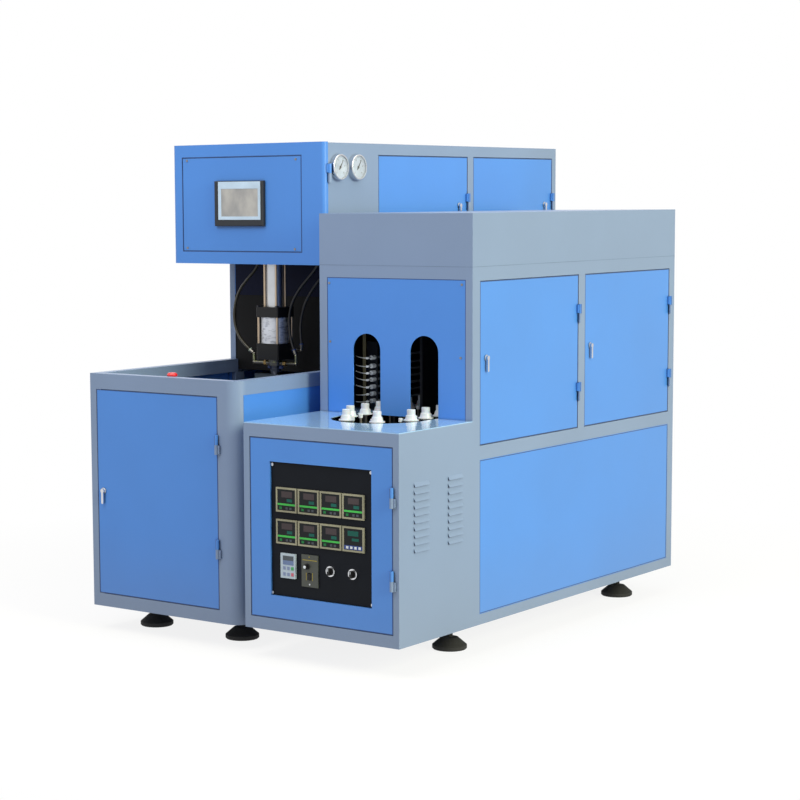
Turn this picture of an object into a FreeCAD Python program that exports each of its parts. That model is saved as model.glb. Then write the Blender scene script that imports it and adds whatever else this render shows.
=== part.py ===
"""Two-unit bottle blow moulding machine: a blowing unit with its clamp, and a preform heater.

Millimetres.  While the pieces are modelled, X runs to the right from the left face of the
blowing unit, Y runs back from its front face and Z runs up from the floor.  Before they are
written, all pieces move together so that the origin is the centre of the whole footprint.
"""
import FreeCAD, Part
import math
import os
from FreeCAD import Vector

# ------------------------------------------------------------------ driving dimensions
# common stock
FOOT_HEIGHT = 96.0          # floor to the underside of both cabinets
SHEET = 2.0                 # folded sheet of doors, hood and covers
RAIL = 40.0                 # depth of the welded frame rails
SKIN = 3.0                  # plain sheet left where a wall is pocketed from inside
DOOR_GAP = 2.0              # gap round doors and panels
DOOR_DEPTH = 20.0           # folded depth of a cabinet door
FACE_RECESS = 1.0           # doors and panels lie this far inside the frame's face
RUNNING = 0.3               # radial clearance of parts that turn or slide freely
FIT = 0.05                  # radial clearance of hinge pins and rods in their bushes

# blowing unit
BLOW_WIDTH = 734.0
BLOW_DEPTH = 2288.0
RIM_HEIGHT = 1008.0         # top of the open well
BODY_HEIGHT = 1887.0        # top of the upper body
OVERHANG_HEIGHT = 470.0      # height of the overhanging head
HEAD_FRONT = 568.0          # front of the head's frame
WELL_BACK = 864.0           # rear post plane of the open well
POST_WIDTH = 27.0           # slim posts beside the well's rear opening
CORNER_RADIUS = 55.0        # rounded front corners of the lower cabinet
BORDER = 55.0               # height of the visible frame above the side panels
LOW_BORDER = 52.0           # height of the visible frame below doors and panels
LEDGE_WIDTH = 44.0          # inner ledge of the front rim
LEDGE_DROP = 8.0
FLOOR_SHEET = 4.0

FRONT_DOOR_LEFT = 32.0
FRONT_RIGHT_BORDER = 98.0    # frame to the right of the front door
FRONT_TOP_BORDER = 62.0      # frame over the front door
BAY_FRONT = 41.0            # first side bay starts behind the front corner rail
BAY_BORDER = 20.0            # first side bay ends this far before the well's rear
UPPER_SETBACK = 42.0         # first upper door starts this far behind the well
UPPER_POST = 48.0            # post between the two upper doors
UPPER_REAR_BORDER = 34.0     # frame behind the rear upper door
UPPER_DOOR_RISE = 56.0       # upper doors start this far over the rim
UPPER_TOP_BORDER = 46.0      # frame over the upper doors

# head cover and operator panel
COVER_LEFT_OVERLAP = 30.0    # cover stands out past the body on its left
COVER_RIGHT_OVERLAP = 2.0    # and on its hinge side
COVER_DEPTH = 22.0
COVER_RADIUS = 16.0
COVER_RISE = 3.0
INSET_LEFT = 23.0
INSET_RIGHT_BORDER = 114.0
INSET_RISE = 52.0            # inset plate over the head's underside
INSET_TOP_BORDER = 50.0
INSET_PLATE = 4.0
LIP = 12.0
OPERATOR_INSET = 173.0       # operator panel from the inset plate's left edge
OPERATOR_WIDTH = 248.0
OPERATOR_RISE = 98.0         # and from its lower edge
OPERATOR_HEIGHT = 178.0
OPERATOR_STAND = 16.0
OPERATOR_CASE = 16.0         # depth of its case behind the plate
OPERATOR_RIM = 10.0          # its bezel overlaps the cut-out by this much
BEZEL_CHAMFER = 4.0
SCREEN_LEFT = 38.0           # screen recess from the bezel's left edge
SCREEN_BOTTOM = 38.0         # and from its lower edge
SCREEN_DEPTH = 2.0
SCREEN_WIDTH = 186.0
SCREEN_HEIGHT = 109.0

# bullet hinges
HINGE_RADIUS = 7.0
HINGE_PIN_RADIUS = 4.0
HINGE_LENGTH = 36.0
HINGE_PROUD = HINGE_RADIUS + 0.4
HINGE_TAB = 14.0

# swing latches
LATCH_SPINDLE = 8.0
LATCH_LENGTH = 46.0
LATCH_WIDTH = 17.0

# pressure gauges
GAUGE_RADIUS = 50.0
GAUGE_DEPTH = 22.0
GAUGE_SETBACKS = (60.0, 179.0)   # gauge axes behind the head's front
GAUGE_RIM = 6.0
GAUGE_SUNK = 8.0             # dial behind the rim's front
GAUGE_STEM = 8.0
GAUGE_NUT = 14.0
NEEDLE_LENGTH = 34.0
NEEDLE_TAIL = 12.0
NEEDLE_HUB = 5.0
GAUGE_DROP = 94.0            # gauge axes below the body's top

# blow and stretch cylinders
BLOW_SETBACK = 132.0         # axis of the blowing head, behind the head's front
STRETCH_BORE = 31.5
STRETCH_WALL = 2.5
STRETCH_TIE_PITCH = 58.0
SEAL_BORE = 50.0
SEAL_WALL = 5.0
SEAL_TIE_PITCH = 95.0
CAP_SIZE = 110.0
LOWER_CAP_RISE = 23.0        # lower cap over the rim
LOWER_CAP_HEIGHT = 65.0
SEAL_BARREL_LENGTH = 105.0
MIDDLE_CAP_HEIGHT = 41.0
CYLINDER_CLEAR = 69.0        # free height over the top cap
TOP_CAP_SIZE = 76.0
TOP_CAP_HEIGHT = 28.0
TIE_ROD = 4.5
SEAL_ROD = 18.0
STRETCH_ROD = 8.0
ROD_CHANNEL = 11.0
SEAL_STROKE = 50.0
STRETCH_STROKE = 300.0
NOZZLE_DROP = 63.0           # nozzle tip below the lower cap
MANIFOLD_HEIGHT = 25.0
MANIFOLD_RADIUS = 28.0
BRACKET_RISE = 60.0          # cross plate that carries the cylinders, over the head's underside
BRACKET_PLATE = 20.0
HOSE_RADIUS = 6.0
GLAND_HEIGHT = 14.0
GLAND_RADIUS = 11.0
NUT_RADIUS = 9.0             # fitting nuts at the hoses' lower ends
COLLAR_RADIUS = 9.5
KNEE_RADIUS = 7.2            # elbows of the fittings
PORT_RISE = 9.0              # manifold ports over its underside

# mould clamp
NOZZLE_GAP = 63.0            # raised nozzle to the mould
MOULD_HEIGHT = 485.0         # mould with its base plug
MOULD_WIDTH = 390.0
MOULD_DEPTH = 190.0         # each half, front to back
PLATEN_THICK = 60.0
PLATEN_WIDTH = 520.0
PLATEN_OVER = 45.0           # platens stand this far over the mould
TIE_BAR = 25.0
TIE_SPACING_X = 450.0
TIE_RISE = 120.0             # lower tie bars over the bed
TIE_DROP = 50.0              # upper tie bars below the platens' tops
TIE_END = 30.0               # bars reach this far past the end plates
TIE_NUT = 12.0               # nuts are this much larger than the bars
CLAMP_STROKE = 260.0
CLAMP_REACH = 800.0          # blowing axis to the rear plate
CLAMP_BORE = 80.0
CLAMP_ROD = 30.0
CLAMP_LENGTH = 390.0
CLAMP_WALL = 8.0
CLAMP_HEAD = 30.0            # thickness of both end heads of the clamp cylinder
CLAMP_HEAD_BORDER = 20.0     # the heads are this much larger than the bore
CLAMP_PISTON = 40.0
BED_TOP = 330.0
BED_WIDTH = 50.0
BASE_STROKE = 50.0
BASE_ROD = 14.0
BASE_ROD_LENGTH = 120.0
BASE_BARREL = 32.0
BASE_HEEL = 60.0             # solid foot of the lift cylinder
BOTTLE_RADIUS = 120.0
BOTTLE_WALL = 310.0          # straight wall of the bottle
SHOULDER_LENGTH = 60.0      # cone from the wall up to the neck insert
NECK_RADIUS = 27.0

# preform heater
UNIT_GAP = 66.0             # free space between the two units
HEATER_BASE = 112.0         # floor to the underside of its cabinet
HEATER_WIDTH = 685.0
HEATER_FRONT = -48.0
HEATER_BACK = 1986.0
OVEN_FRONT = 421.0
DESK_HEIGHT = 865.0         # top of the control cabinet
HOOD_SEAM = 1424.0
HOOD_HEIGHT = 193.0
HEATER_RAIL = 35.0
OVEN_FRONT_BORDER = 52.0     # frame before the first oven door
OVEN_POST = 54.0             # post between the oven doors
OVEN_REAR_BORDER = 48.0      # frame behind the second one
OVEN_DOOR_LENGTH = 709.0     # front oven door; the rear one takes the rest
OVEN_MIDDLE_RAIL = 56.0      # rail between the low panel and the oven doors
OVEN_TOP_BORDER = 53.0       # frame over the oven doors
LOW_PANEL_RISE = 41.0        # low panel over the cabinet's underside
LOW_PANEL_DROP = 145.0       # desk to the top of the low panel
CONTROL_LEFT_BORDER = 29.0   # frame round the control door
CONTROL_RIGHT_BORDER = 27.0
CONTROL_LOW_BORDER = 47.0
CONTROL_TOP_BORDER = 49.0
PANEL_WIDTH = 449.0
PANEL_HEIGHT = 489.0
PANEL_RECESS = 9.0
PANEL_PLATE = 3.0
OVEN_PANEL_BORDER = 29.0     # frame to the right of the oven's front panel
OVEN_PANEL_DROP = 46.0       # hood to the top of the oven's front panel
ARCH_RADIUS = 62.0
ARCH_STRAIGHT = 240.0        # straight sides of the arches over the desk plate
DESK_PLATE = 3.0

# louvres pressed into the control cabinet's right wall
LOUVRE_SETBACKS = (91.0, 308.0)  # louvre columns behind the cabinet's front
LOUVRE_WIDTH = 93.0
LOUVRE_DROP = 179.0          # desk to the uppermost louvre
LOUVRE_PITCH = 25.7
LOUVRE_COUNT = 10
LOUVRE_HEIGHT = 15.0
LOUVRE_STAND = 7.0

# controls
COLUMN_OFFSETS = (72.5, 171.5, 270.0, 368.5)  # from the panel's left edge
ROW_OFFSETS = (353.0, 237.0)     # from the panel's lower edge
CONTROLLER_WIDTH = 93.0
CONTROLLER_HEIGHT = 89.0
CONTROLLER_STAND = 8.0
CONTROLLER_BODY = 70.0
CONTROLLER_RIM = 6.0
CONTROLLER_SUNK = 2.0
CASE_STEP = 4.0              # rear cases are this much smaller on each side
KEYPAD_STAND = 9.0
KEYPAD_LEFT = 79.0           # instrument centres from the panel's lower left corner
KEYPAD_RISE = 114.0
KEYPAD_WIDTH = 66.0
KEYPAD_HEIGHT = 90.0
SPEED_LEFT = 175.0
SPEED_RISE = 104.5
SPEED_WIDTH = 74.0
SPEED_HEIGHT = 117.0
KNOB_SHIFT = -11.5           # knob and rocker from the speed plate's centre
KNOB_RISE = 15.5
KNOB_RADIUS = 11.0
ROCKER_SHIFT = -1.5
ROCKER_RISE = -20.5
ROCKER_WIDTH = 14.0
ROCKER_HEIGHT = 24.0
ROCKER_BARREL = 5.5
SELECTOR_OFFSETS = (267.5, 365.0)
SELECTOR_RISE = 113.0
SELECTOR_RADIUS = 19.0
SELECTOR_HOLE = 11.0

# mandrel chain
LOOP_SHIFT = 3.5             # loop stands this far right of the heater's middle
LOOP_SETBACK = 374.0         # axis of the front chain wheel behind the cabinet's front
MANDREL_PITCH = 95.25       # six chain pitches of 15.875
LOOP_REAR_SPACE = 231.0      # at least this much room from the rear wheel's axis to the back
ARC_PITCHES = 3             # mandrel pitches round each half turn
MANDREL_REACH = 45.5        # mandrels stand this far outside the chain line
SLOT_RADIUS = 182.0         # half width of the desk's opening round the loop
CHAIN_DROP = 59.0            # desk to the chain's lower side
CHAIN_HEIGHT = 12.0
CHAIN_HALF = 4.0
CARRIER_THICK = 6.0
CARRIER_HALF = 13.0
SPINDLE_RADIUS = 9.0
HEAD_FLANGE = 28.0
HEAD_SHOULDER = 19.0
HEAD_PLUG = 14.0
HEAD_HEIGHT = 43.0
HEAD_LIFT = 3.0             # heads' flanges over the desk plate
ROLLER_RADIUS = 8.0
ROLLER_HEIGHT = 16.0
ROLLER_BACK = 33.0          # white rollers stand this far inside their mandrel
ROLLER_SIDE = 20.0          # and this far along the chain
ROLLER_TOP = 13.0           # their tops over the desk plate
DECK_DROP = 48.0             # chain to the underside of its deck
DECK_THICK = 8.0
WHEEL_THICK = 12.0
WHEEL_SHAFT = 20.0
SHAFT_RISE = 24.0            # wheel shafts end this far over the chain's lower side
WHEEL_SEAT = 12.0            # shoulder round each shaft under its wheel
WHEEL_HUB = 34.0
WHEEL_HUB_HEIGHT = 20.0
WHEEL_HOLE = 14.0
WHEEL_HOLE_CIRCLE = 57.0
SLIDE_RAIL = 7.0             # half width of the rails that the carriers slide on

# lamps
LAMP_HEIGHTS = (200.0, 168.0, 142.0, 116.0, 88.0, 61.0, 34.0)  # over the desk plate
LAMP_RADIUS = 5.5
SOCKET_RADIUS = 8.5
SOCKET_LENGTH = 28.0
LAMP_OFFSET = 207.0         # lamps outside the loop's middle line
LAMP_SETBACK = 139.0         # lamps start this far behind the oven's front
LAMP_REAR_SPACE = 136.0      # and end this far before the back
LAMP_OVERHANG = 22.0         # ceramic ends stand this far out of the lamp frames
REFLECTOR_TOP = 60.0         # reflectors over the top lamp
REFLECTOR_LIP = 14.0         # end plates reach this far inside the lamp axes
CENTRE_SHEET = 4.0           # upright sheet between the chain's runs
CENTRE_SETBACK = 173.0       # it starts this far behind the oven's front
CENTRE_REAR_GAP = 60.0       # and ends this far before the rear wheel's axis
CENTRE_TOP = 90.0            # its top over the uppermost lamp
CENTRE_FLANGE = 12.0         # folded front edge
CENTRE_POST = 20.0           # square posts that carry it on the deck
CENTRE_POSTS = (110.0, 560.0)   # their places behind its front edge
REFLECTOR_BACK = 30.0       # reflector plate behind the lamp axes

# feet
FOOT_RADIUS = 65.0
FOOT_EDGE = 16.0             # thickness of a foot's rim
FOOT_CONE = 44.0             # height of its rubber cone
FOOT_STUD = 12.0
FOOT_NUT = 18.0              # lock nut's radius, and next its height
FOOT_NUT_HEIGHT = 14.0
FOOT_RAIL = 60.0             # width of the cross rails over the feet
FOOT_RAIL_HEIGHT = 30.0
FOOT_INSET_X = 150.0
FOOT_INSET_Y = 200.0
HEATER_FOOT_Y = 500.0

# hinges, latches and small fittings on the doors
FRONT_HINGE_INSETS = (177.0, 229.0)    # hinges below the door's top and over its bottom
UPPER_HINGE_INSETS = (187.0, 152.0)
COVER_HINGE_INSETS = (117.0, 105.0)
CONTROL_HINGE_INSETS = (174.0, 191.0)
OVEN_HINGE_INSETS = (149.0, 142.0)
FRONT_LATCH_INSET = 30.0
FRONT_LATCH_RISE = 404.0     # over the door's lower edge
UPPER_LATCH_INSET = 64.0
UPPER_LATCH_DROP = 201.0     # below the door's upper edge
OVEN_LATCH_INSET = 40.0
OVEN_LATCH_DROP = 279.0

# stop button and gauge needles
STOP_STEM = 10.0
STOP_RADIUS = 20.0
STOP_HEIGHT = 17.0
STOP_TRAVEL = 4.0
NEEDLE_REST = -35.0

# well covers
APRON_HEIGHT = 140.0
BACK_PLATE_DROP = 42.0       # steel plate reaches this far below the rim

# seats and bores of small parts
TIE_THREAD = 14.0
FLANGE_SIZE = 140.0
FLANGE_THICK = 14.0
FITTING_LENGTH = 22.0
BASE_PLUG = 40.0
PLUG_LAND = 10.0            # the base plug reaches this far under the mould halves
KNOB_SHAFT = 3.0
SPEED_STAND = 5.0
SELECTOR_RING_BORE = 13.5
HEAD_SOCKET = 8.0
WHEEL_HOLES = 6
GEARBOX_SIZE = (124.0, 140.0, 105.0)   # width, length and height
MOTOR_FLANGE = 68.0
MOTOR_FLANGE_THICK = 12.0
MOTOR_RADIUS = 60.0
MOTOR_LENGTH = 203.0
FAN_COVER_RADIUS = 64.0
FAN_COVER_LENGTH = 50.0
FAN_COVER_OVERLAP = 18.0
ARCH_OFFSET = 129.0

# ------------------------------------------------------------------ derived places, blowing unit
CENTRE_X = BLOW_WIDTH / 2
HEAD_UNDERSIDE = BODY_HEIGHT - OVERHANG_HEIGHT
COVER_FRONT = HEAD_FRONT - DOOR_GAP - COVER_DEPTH
FRONT_DOOR_WIDTH = BLOW_WIDTH - FRONT_DOOR_LEFT - FRONT_RIGHT_BORDER
FRONT_DOOR_BOTTOM = FOOT_HEIGHT + LOW_BORDER
FRONT_DOOR_TOP = RIM_HEIGHT - FRONT_TOP_BORDER
FRONT_LATCH_X = FRONT_DOOR_LEFT + FRONT_LATCH_INSET
FRONT_LATCH_Z = FRONT_DOOR_BOTTOM + FRONT_LATCH_RISE
BAY_END = WELL_BACK - BAY_BORDER
UPPER_DOOR_BOTTOM = RIM_HEIGHT + UPPER_DOOR_RISE
UPPER_DOOR_TOP = BODY_HEIGHT - UPPER_TOP_BORDER
UPPER_LATCH_Z = UPPER_DOOR_TOP - UPPER_LATCH_DROP
UPPER_START = WELL_BACK + UPPER_SETBACK
UPPER_DOOR_LENGTH = (BLOW_DEPTH - UPPER_REAR_BORDER - UPPER_POST - UPPER_START) / 2
UPPER_DOOR_STARTS = (UPPER_START, UPPER_START + UPPER_DOOR_LENGTH + UPPER_POST)
INSET_WIDTH = BLOW_WIDTH - INSET_LEFT - INSET_RIGHT_BORDER
INSET_BOTTOM = HEAD_UNDERSIDE + INSET_RISE
INSET_HEIGHT = OVERHANG_HEIGHT - INSET_RISE - INSET_TOP_BORDER
OPERATOR_LEFT = INSET_LEFT + OPERATOR_INSET
OPERATOR_BOTTOM = INSET_BOTTOM + OPERATOR_RISE
GAUGE_PLACES = tuple(HEAD_FRONT + setback for setback in GAUGE_SETBACKS)
GAUGE_HEIGHT = BODY_HEIGHT - GAUGE_DROP
APRON_BOTTOM = HEAD_UNDERSIDE - APRON_HEIGHT
BACK_PLATE_BOTTOM = RIM_HEIGHT - BACK_PLATE_DROP
BLOW_Y = HEAD_FRONT + BLOW_SETBACK
BRACKET_Z = HEAD_UNDERSIDE + BRACKET_RISE
BRACKET_TOP = BRACKET_Z + BRACKET_PLATE
GLAND_Z = BRACKET_Z - GLAND_HEIGHT
LOWER_CAP_BOTTOM = RIM_HEIGHT + LOWER_CAP_RISE
LOWER_CAP_TOP = LOWER_CAP_BOTTOM + LOWER_CAP_HEIGHT
SEAL_BARREL_TOP = LOWER_CAP_TOP + SEAL_BARREL_LENGTH
MIDDLE_CAP_TOP = SEAL_BARREL_TOP + MIDDLE_CAP_HEIGHT
STRETCH_BARREL_TOP = BODY_HEIGHT - CYLINDER_CLEAR - TOP_CAP_HEIGHT
STRETCH_BARREL_LENGTH = STRETCH_BARREL_TOP - MIDDLE_CAP_TOP
NOZZLE_TIP = LOWER_CAP_BOTTOM - NOZZLE_DROP
MOULD_TOP = NOZZLE_TIP - NOZZLE_GAP
MOULD_BOTTOM = MOULD_TOP - MOULD_HEIGHT
MOULD_FRONT = BLOW_Y - MOULD_DEPTH
MOULD_REAR = BLOW_Y + MOULD_DEPTH
PLATEN_BOTTOM = BED_TOP
PLATEN_TOP = MOULD_TOP + PLATEN_OVER
TIE_LOW = BED_TOP + TIE_RISE
TIE_HIGH = PLATEN_TOP - TIE_DROP
CLAMP_Z = (TIE_LOW + TIE_HIGH) / 2
REAR_PLATE_Y = BLOW_Y + CLAMP_REACH

# ------------------------------------------------------------------ derived places, heater
HEATER_LEFT = BLOW_WIDTH + UNIT_GAP
HEATER_RIGHT = HEATER_LEFT + HEATER_WIDTH
HOOD_TOP = HOOD_SEAM + HOOD_HEIGHT
DESK_TOP = DESK_HEIGHT + DESK_PLATE
LOW_PANEL_BOTTOM = HEATER_BASE + LOW_PANEL_RISE
LOW_PANEL_TOP = DESK_HEIGHT - LOW_PANEL_DROP
OVEN_DOOR_BOTTOM = LOW_PANEL_TOP + OVEN_MIDDLE_RAIL
OVEN_DOOR_TOP = HOOD_SEAM - OVEN_TOP_BORDER
OVEN_LATCH_Z = OVEN_DOOR_TOP - OVEN_LATCH_DROP
OVEN_START = OVEN_FRONT + OVEN_FRONT_BORDER
OVEN_DOOR_STARTS = (OVEN_START, OVEN_START + OVEN_DOOR_LENGTH + OVEN_POST)
OVEN_DOOR_LENGTHS = (OVEN_DOOR_LENGTH, HEATER_BACK - OVEN_REAR_BORDER - OVEN_DOOR_STARTS[1])
OVEN_PANEL_LEFT = HEATER_LEFT + HEATER_RAIL
OVEN_PANEL_WIDTH = HEATER_WIDTH - HEATER_RAIL - OVEN_PANEL_BORDER
OVEN_PANEL_TOP = HOOD_SEAM - OVEN_PANEL_DROP
ARCH_SPRING = DESK_TOP + ARCH_STRAIGHT
CONTROL_DOOR_LEFT = HEATER_LEFT + CONTROL_LEFT_BORDER
CONTROL_DOOR_WIDTH = HEATER_WIDTH - CONTROL_LEFT_BORDER - CONTROL_RIGHT_BORDER
CONTROL_DOOR_BOTTOM = HEATER_BASE + CONTROL_LOW_BORDER
CONTROL_DOOR_HEIGHT = DESK_HEIGHT - CONTROL_TOP_BORDER - CONTROL_DOOR_BOTTOM
PANEL_LEFT = CONTROL_DOOR_LEFT + (CONTROL_DOOR_WIDTH - PANEL_WIDTH) / 2
PANEL_BOTTOM = CONTROL_DOOR_BOTTOM + (CONTROL_DOOR_HEIGHT - PANEL_HEIGHT) / 2
LOUVRE_COLUMNS = tuple(HEATER_FRONT + setback for setback in LOUVRE_SETBACKS)
LOUVRE_TOP = DESK_HEIGHT - LOUVRE_DROP
CONTROLLER_COLUMNS = tuple(PANEL_LEFT + offset for offset in COLUMN_OFFSETS)
CONTROLLER_ROWS = tuple(PANEL_BOTTOM + offset for offset in ROW_OFFSETS)
KEYPAD_X, KEYPAD_Z = PANEL_LEFT + KEYPAD_LEFT, PANEL_BOTTOM + KEYPAD_RISE
SPEED_X, SPEED_Z = PANEL_LEFT + SPEED_LEFT, PANEL_BOTTOM + SPEED_RISE
KNOB_X, KNOB_Z = SPEED_X + KNOB_SHIFT, SPEED_Z + KNOB_RISE
ROCKER_X, ROCKER_Z = SPEED_X + ROCKER_SHIFT, SPEED_Z + ROCKER_RISE
SELECTOR_PLACES = tuple(PANEL_LEFT + offset for offset in SELECTOR_OFFSETS)
SELECTOR_Z = PANEL_BOTTOM + SELECTOR_RISE
LOOP_X = HEATER_LEFT + HEATER_WIDTH / 2 + LOOP_SHIFT
LOOP_FRONT_Y = HEATER_FRONT + LOOP_SETBACK
LOOP_RADIUS = ARC_PITCHES * MANDREL_PITCH / math.pi
RUN_PITCHES = int((HEATER_BACK - LOOP_REAR_SPACE - LOOP_FRONT_Y) / MANDREL_PITCH)
RUN_LENGTH = RUN_PITCHES * MANDREL_PITCH
MANDREL_COUNT = 2 * (RUN_PITCHES + ARC_PITCHES)
LOOP_REAR_Y = LOOP_FRONT_Y + RUN_LENGTH
CHAIN_Z = DESK_HEIGHT - CHAIN_DROP
DECK_Z = CHAIN_Z - DECK_DROP
LAMP_LEVELS = tuple(DESK_TOP + height for height in LAMP_HEIGHTS)
LAMP_START = OVEN_FRONT + LAMP_SETBACK
LAMP_LENGTH = HEATER_BACK - LAMP_REAR_SPACE - LAMP_START

# ------------------------------------------------------------------ hinge heights of every door
FRONT_DOOR_HINGES = (FRONT_DOOR_TOP - FRONT_HINGE_INSETS[0], FRONT_DOOR_BOTTOM + FRONT_HINGE_INSETS[1])
UPPER_DOOR_HINGES = (UPPER_DOOR_TOP - UPPER_HINGE_INSETS[0], UPPER_DOOR_BOTTOM + UPPER_HINGE_INSETS[1])
COVER_HINGES = (BODY_HEIGHT - COVER_HINGE_INSETS[0], HEAD_UNDERSIDE + COVER_HINGE_INSETS[1])
CONTROL_DOOR_HINGES = (CONTROL_DOOR_BOTTOM + CONTROL_DOOR_HEIGHT - CONTROL_HINGE_INSETS[0],
                       CONTROL_DOOR_BOTTOM + CONTROL_HINGE_INSETS[1])
OVEN_DOOR_HINGES = (OVEN_DOOR_TOP - OVEN_HINGE_INSETS[0], OVEN_DOOR_BOTTOM + OVEN_HINGE_INSETS[1])

# ------------------------------------------------------------------ general values
REACH = 10000.0             # farther than any part of the machine
SLIVER = 0.1                # a seam this close to a face divides nothing
UP = Vector(0, 0, 1)
RIGHT = Vector(1, 0, 0)
BACK = Vector(0, 1, 0)

# hose routes from the gland down to the fitting, as offsets from the blowing axis and heights over
# the lower cap's underside; the heights follow the room between the cap and the gland
HOSE_LEFT = [(-77, 0, 432), (-77, 0, 395), (-100, 1, 357), (-141, 2, 321), (-183, 3, 278),
             (-209, 3, 222), (-216, 2, 160), (-200, 1, 102), (-165, 0, 58), (-127, 0, 31)]
HOSE_RIGHT = [(227, 0, 432), (227, 0, 397), (209, 0, 359), (173, 0, 321), (132, 0, 283),
              (96, 0, 231), (77, 0, 175), (72, 0, 119), (80, 0, 71), (95, 0, 37)]
HOSE_REAR = [(267, 38, 432), (267, 38, 397), (248, 38, 359), (210, 38, 319), (170, 38, 271),
             (137, 38, 217), (117, 38, 159), (107, 38, 103), (103, 38, 59)]


# ------------------------------------------------------------------ small helpers
def block(x0, x1, y0, y1, z0, z1):
    """Box between two corners."""
    return Part.makeBox(x1 - x0, y1 - y0, z1 - z0, Vector(x0, y0, z0))


def rod(radius, start, direction, length):
    """Round bar from a start point."""
    return Part.makeCylinder(radius, length, start, direction)


def tube(outer, inner, start, direction, length):
    """Round tube from a start point."""
    return rod(outer, start, direction, length).cut(rod(inner, start, direction, length))


def fuse(shapes):
    """One solid from several that touch or overlap."""
    first, rest = shapes[0], shapes[1:]
    if not rest:
        return first
    return first.fuse(rest).removeSplitter()


def divide(shape, planes):
    """Cut a shape at planes square to X, Y or Z into solids that meet face to face."""
    solids = shape.Solids
    for axis, place in planes:
        limits = [-REACH, REACH, -REACH, REACH, -REACH, REACH]
        limits[2 * "XYZ".index(axis) + 1] = place
        lower_side = block(*limits)
        crossed = []
        for solid in solids:
            box = solid.BoundBox
            if getattr(box, axis + "Min") < place - SLIVER and getattr(box, axis + "Max") > place + SLIVER:
                crossed += solid.common(lower_side).Solids + solid.cut(lower_side).Solids
            else:
                crossed.append(solid)
        solids = crossed
    return solids


def prism(points, direction):
    """Straight extrusion of a closed polygon."""
    wire = Part.makePolygon([Vector(*p) for p in points] + [Vector(*points[0])])
    return Part.Face(wire).extrude(direction)


def turned(profile, centre):
    """Solid of revolution about a vertical axis; profile is (radius, height) pairs."""
    wire = Part.makePolygon([Vector(r, 0, z) for r, z in profile + [profile[0]]])
    solid = Part.Face(wire).revolve(Vector(0, 0, 0), UP, 360)
    solid.translate(centre)
    return solid


def rounded_upright(shape, radius, test):
    """Fillet the upright edges whose (x, y) place passes the test."""
    edges = []
    for edge in shape.Edges:
        a, b = edge.Vertexes[0].Point, edge.Vertexes[-1].Point
        upright = abs(a.x - b.x) < 0.01 and abs(a.y - b.y) < 0.01
        if upright and test(a.x, a.y):
            edges.append(edge)
    return shape.makeFillet(radius, edges)


def facing_front(shape, x, y, z):
    """Place a piece drawn with its face at local y = 0 on a front-facing wall."""
    placed = shape.copy()
    placed.translate(Vector(x, y, z))
    return placed


def facing_right(shape, x, y, z):
    """Turn a piece drawn for a front wall onto a right-hand wall."""
    placed = shape.copy()
    placed.rotate(Vector(0, 0, 0), UP, 90)
    placed.translate(Vector(x, y, z))
    return placed


# ------------------------------------------------------------------ doors, hinges, latches
def door_shell(width, height, holes=()):
    """Folded sheet door: face at y = 0, returns behind it; holes are (x, z, radius)."""
    shell = block(0, width, 0, DOOR_DEPTH, 0, height)
    shell = shell.cut(block(SHEET, width - SHEET, SHEET, DOOR_DEPTH, SHEET, height - SHEET))
    for x, z, radius in holes:
        shell = shell.cut(rod(radius, Vector(x, 0, z), BACK, SHEET))
    return shell


def hinge_sleeve(face_y, z):
    """Door half of a bullet hinge: bored barrel and its weld tab, axis at x = 0."""
    axis = Vector(0, face_y - HINGE_PROUD, z)
    barrel = rod(HINGE_RADIUS, axis, UP, HINGE_LENGTH)
    tab_front = face_y - HINGE_PROUD
    tab = block(-HINGE_TAB, 0, tab_front, face_y, z + 2, z + HINGE_LENGTH - 2)
    bore = rod(HINGE_PIN_RADIUS + FIT, axis, UP, HINGE_LENGTH - SKIN)
    return barrel.fuse(tab).removeSplitter().cut(bore)


def hinge_pin(face_y, z):
    """Frame half of a bullet hinge: solid barrel with the pin that enters the sleeve."""
    axis_y = face_y - HINGE_PROUD
    bottom = z - RUNNING - HINGE_LENGTH
    barrel = rod(HINGE_RADIUS, Vector(0, axis_y, bottom), UP, HINGE_LENGTH)
    pin = rod(HINGE_PIN_RADIUS, Vector(0, axis_y, bottom), UP, 2 * HINGE_LENGTH - 2 * SKIN)
    tab = block(0, HINGE_TAB, axis_y, face_y, bottom + 2, z - RUNNING - 2)
    return fuse([barrel, pin, tab])


def latch_handle():
    """Swing handle with its spindle; the handle hangs down from the spindle."""
    thick = 7.0
    half = LATCH_WIDTH / 2
    stand = 5.0
    paddle = block(-half * 0.6, half * 0.6, -stand - thick, -stand, -LATCH_LENGTH, 0)
    boss = rod(half, Vector(0, -stand - thick, 0), BACK, thick + stand - RUNNING)
    end = rod(half * 0.6, Vector(0, -stand - thick, -LATCH_LENGTH), BACK, thick)
    spindle = rod(LATCH_SPINDLE - 2, Vector(0, -RUNNING, 0), BACK, DOOR_DEPTH)
    cam = block(-half, half, DOOR_DEPTH - 4 - RUNNING, DOOR_DEPTH - RUNNING, -16, half)
    return fuse([boss, paddle, end, spindle, cam])


def latch_hole(x, z):
    """Clearance hole of a latch spindle in a door."""
    return (x, z, LATCH_SPINDLE - 2 + RUNNING)


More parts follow.
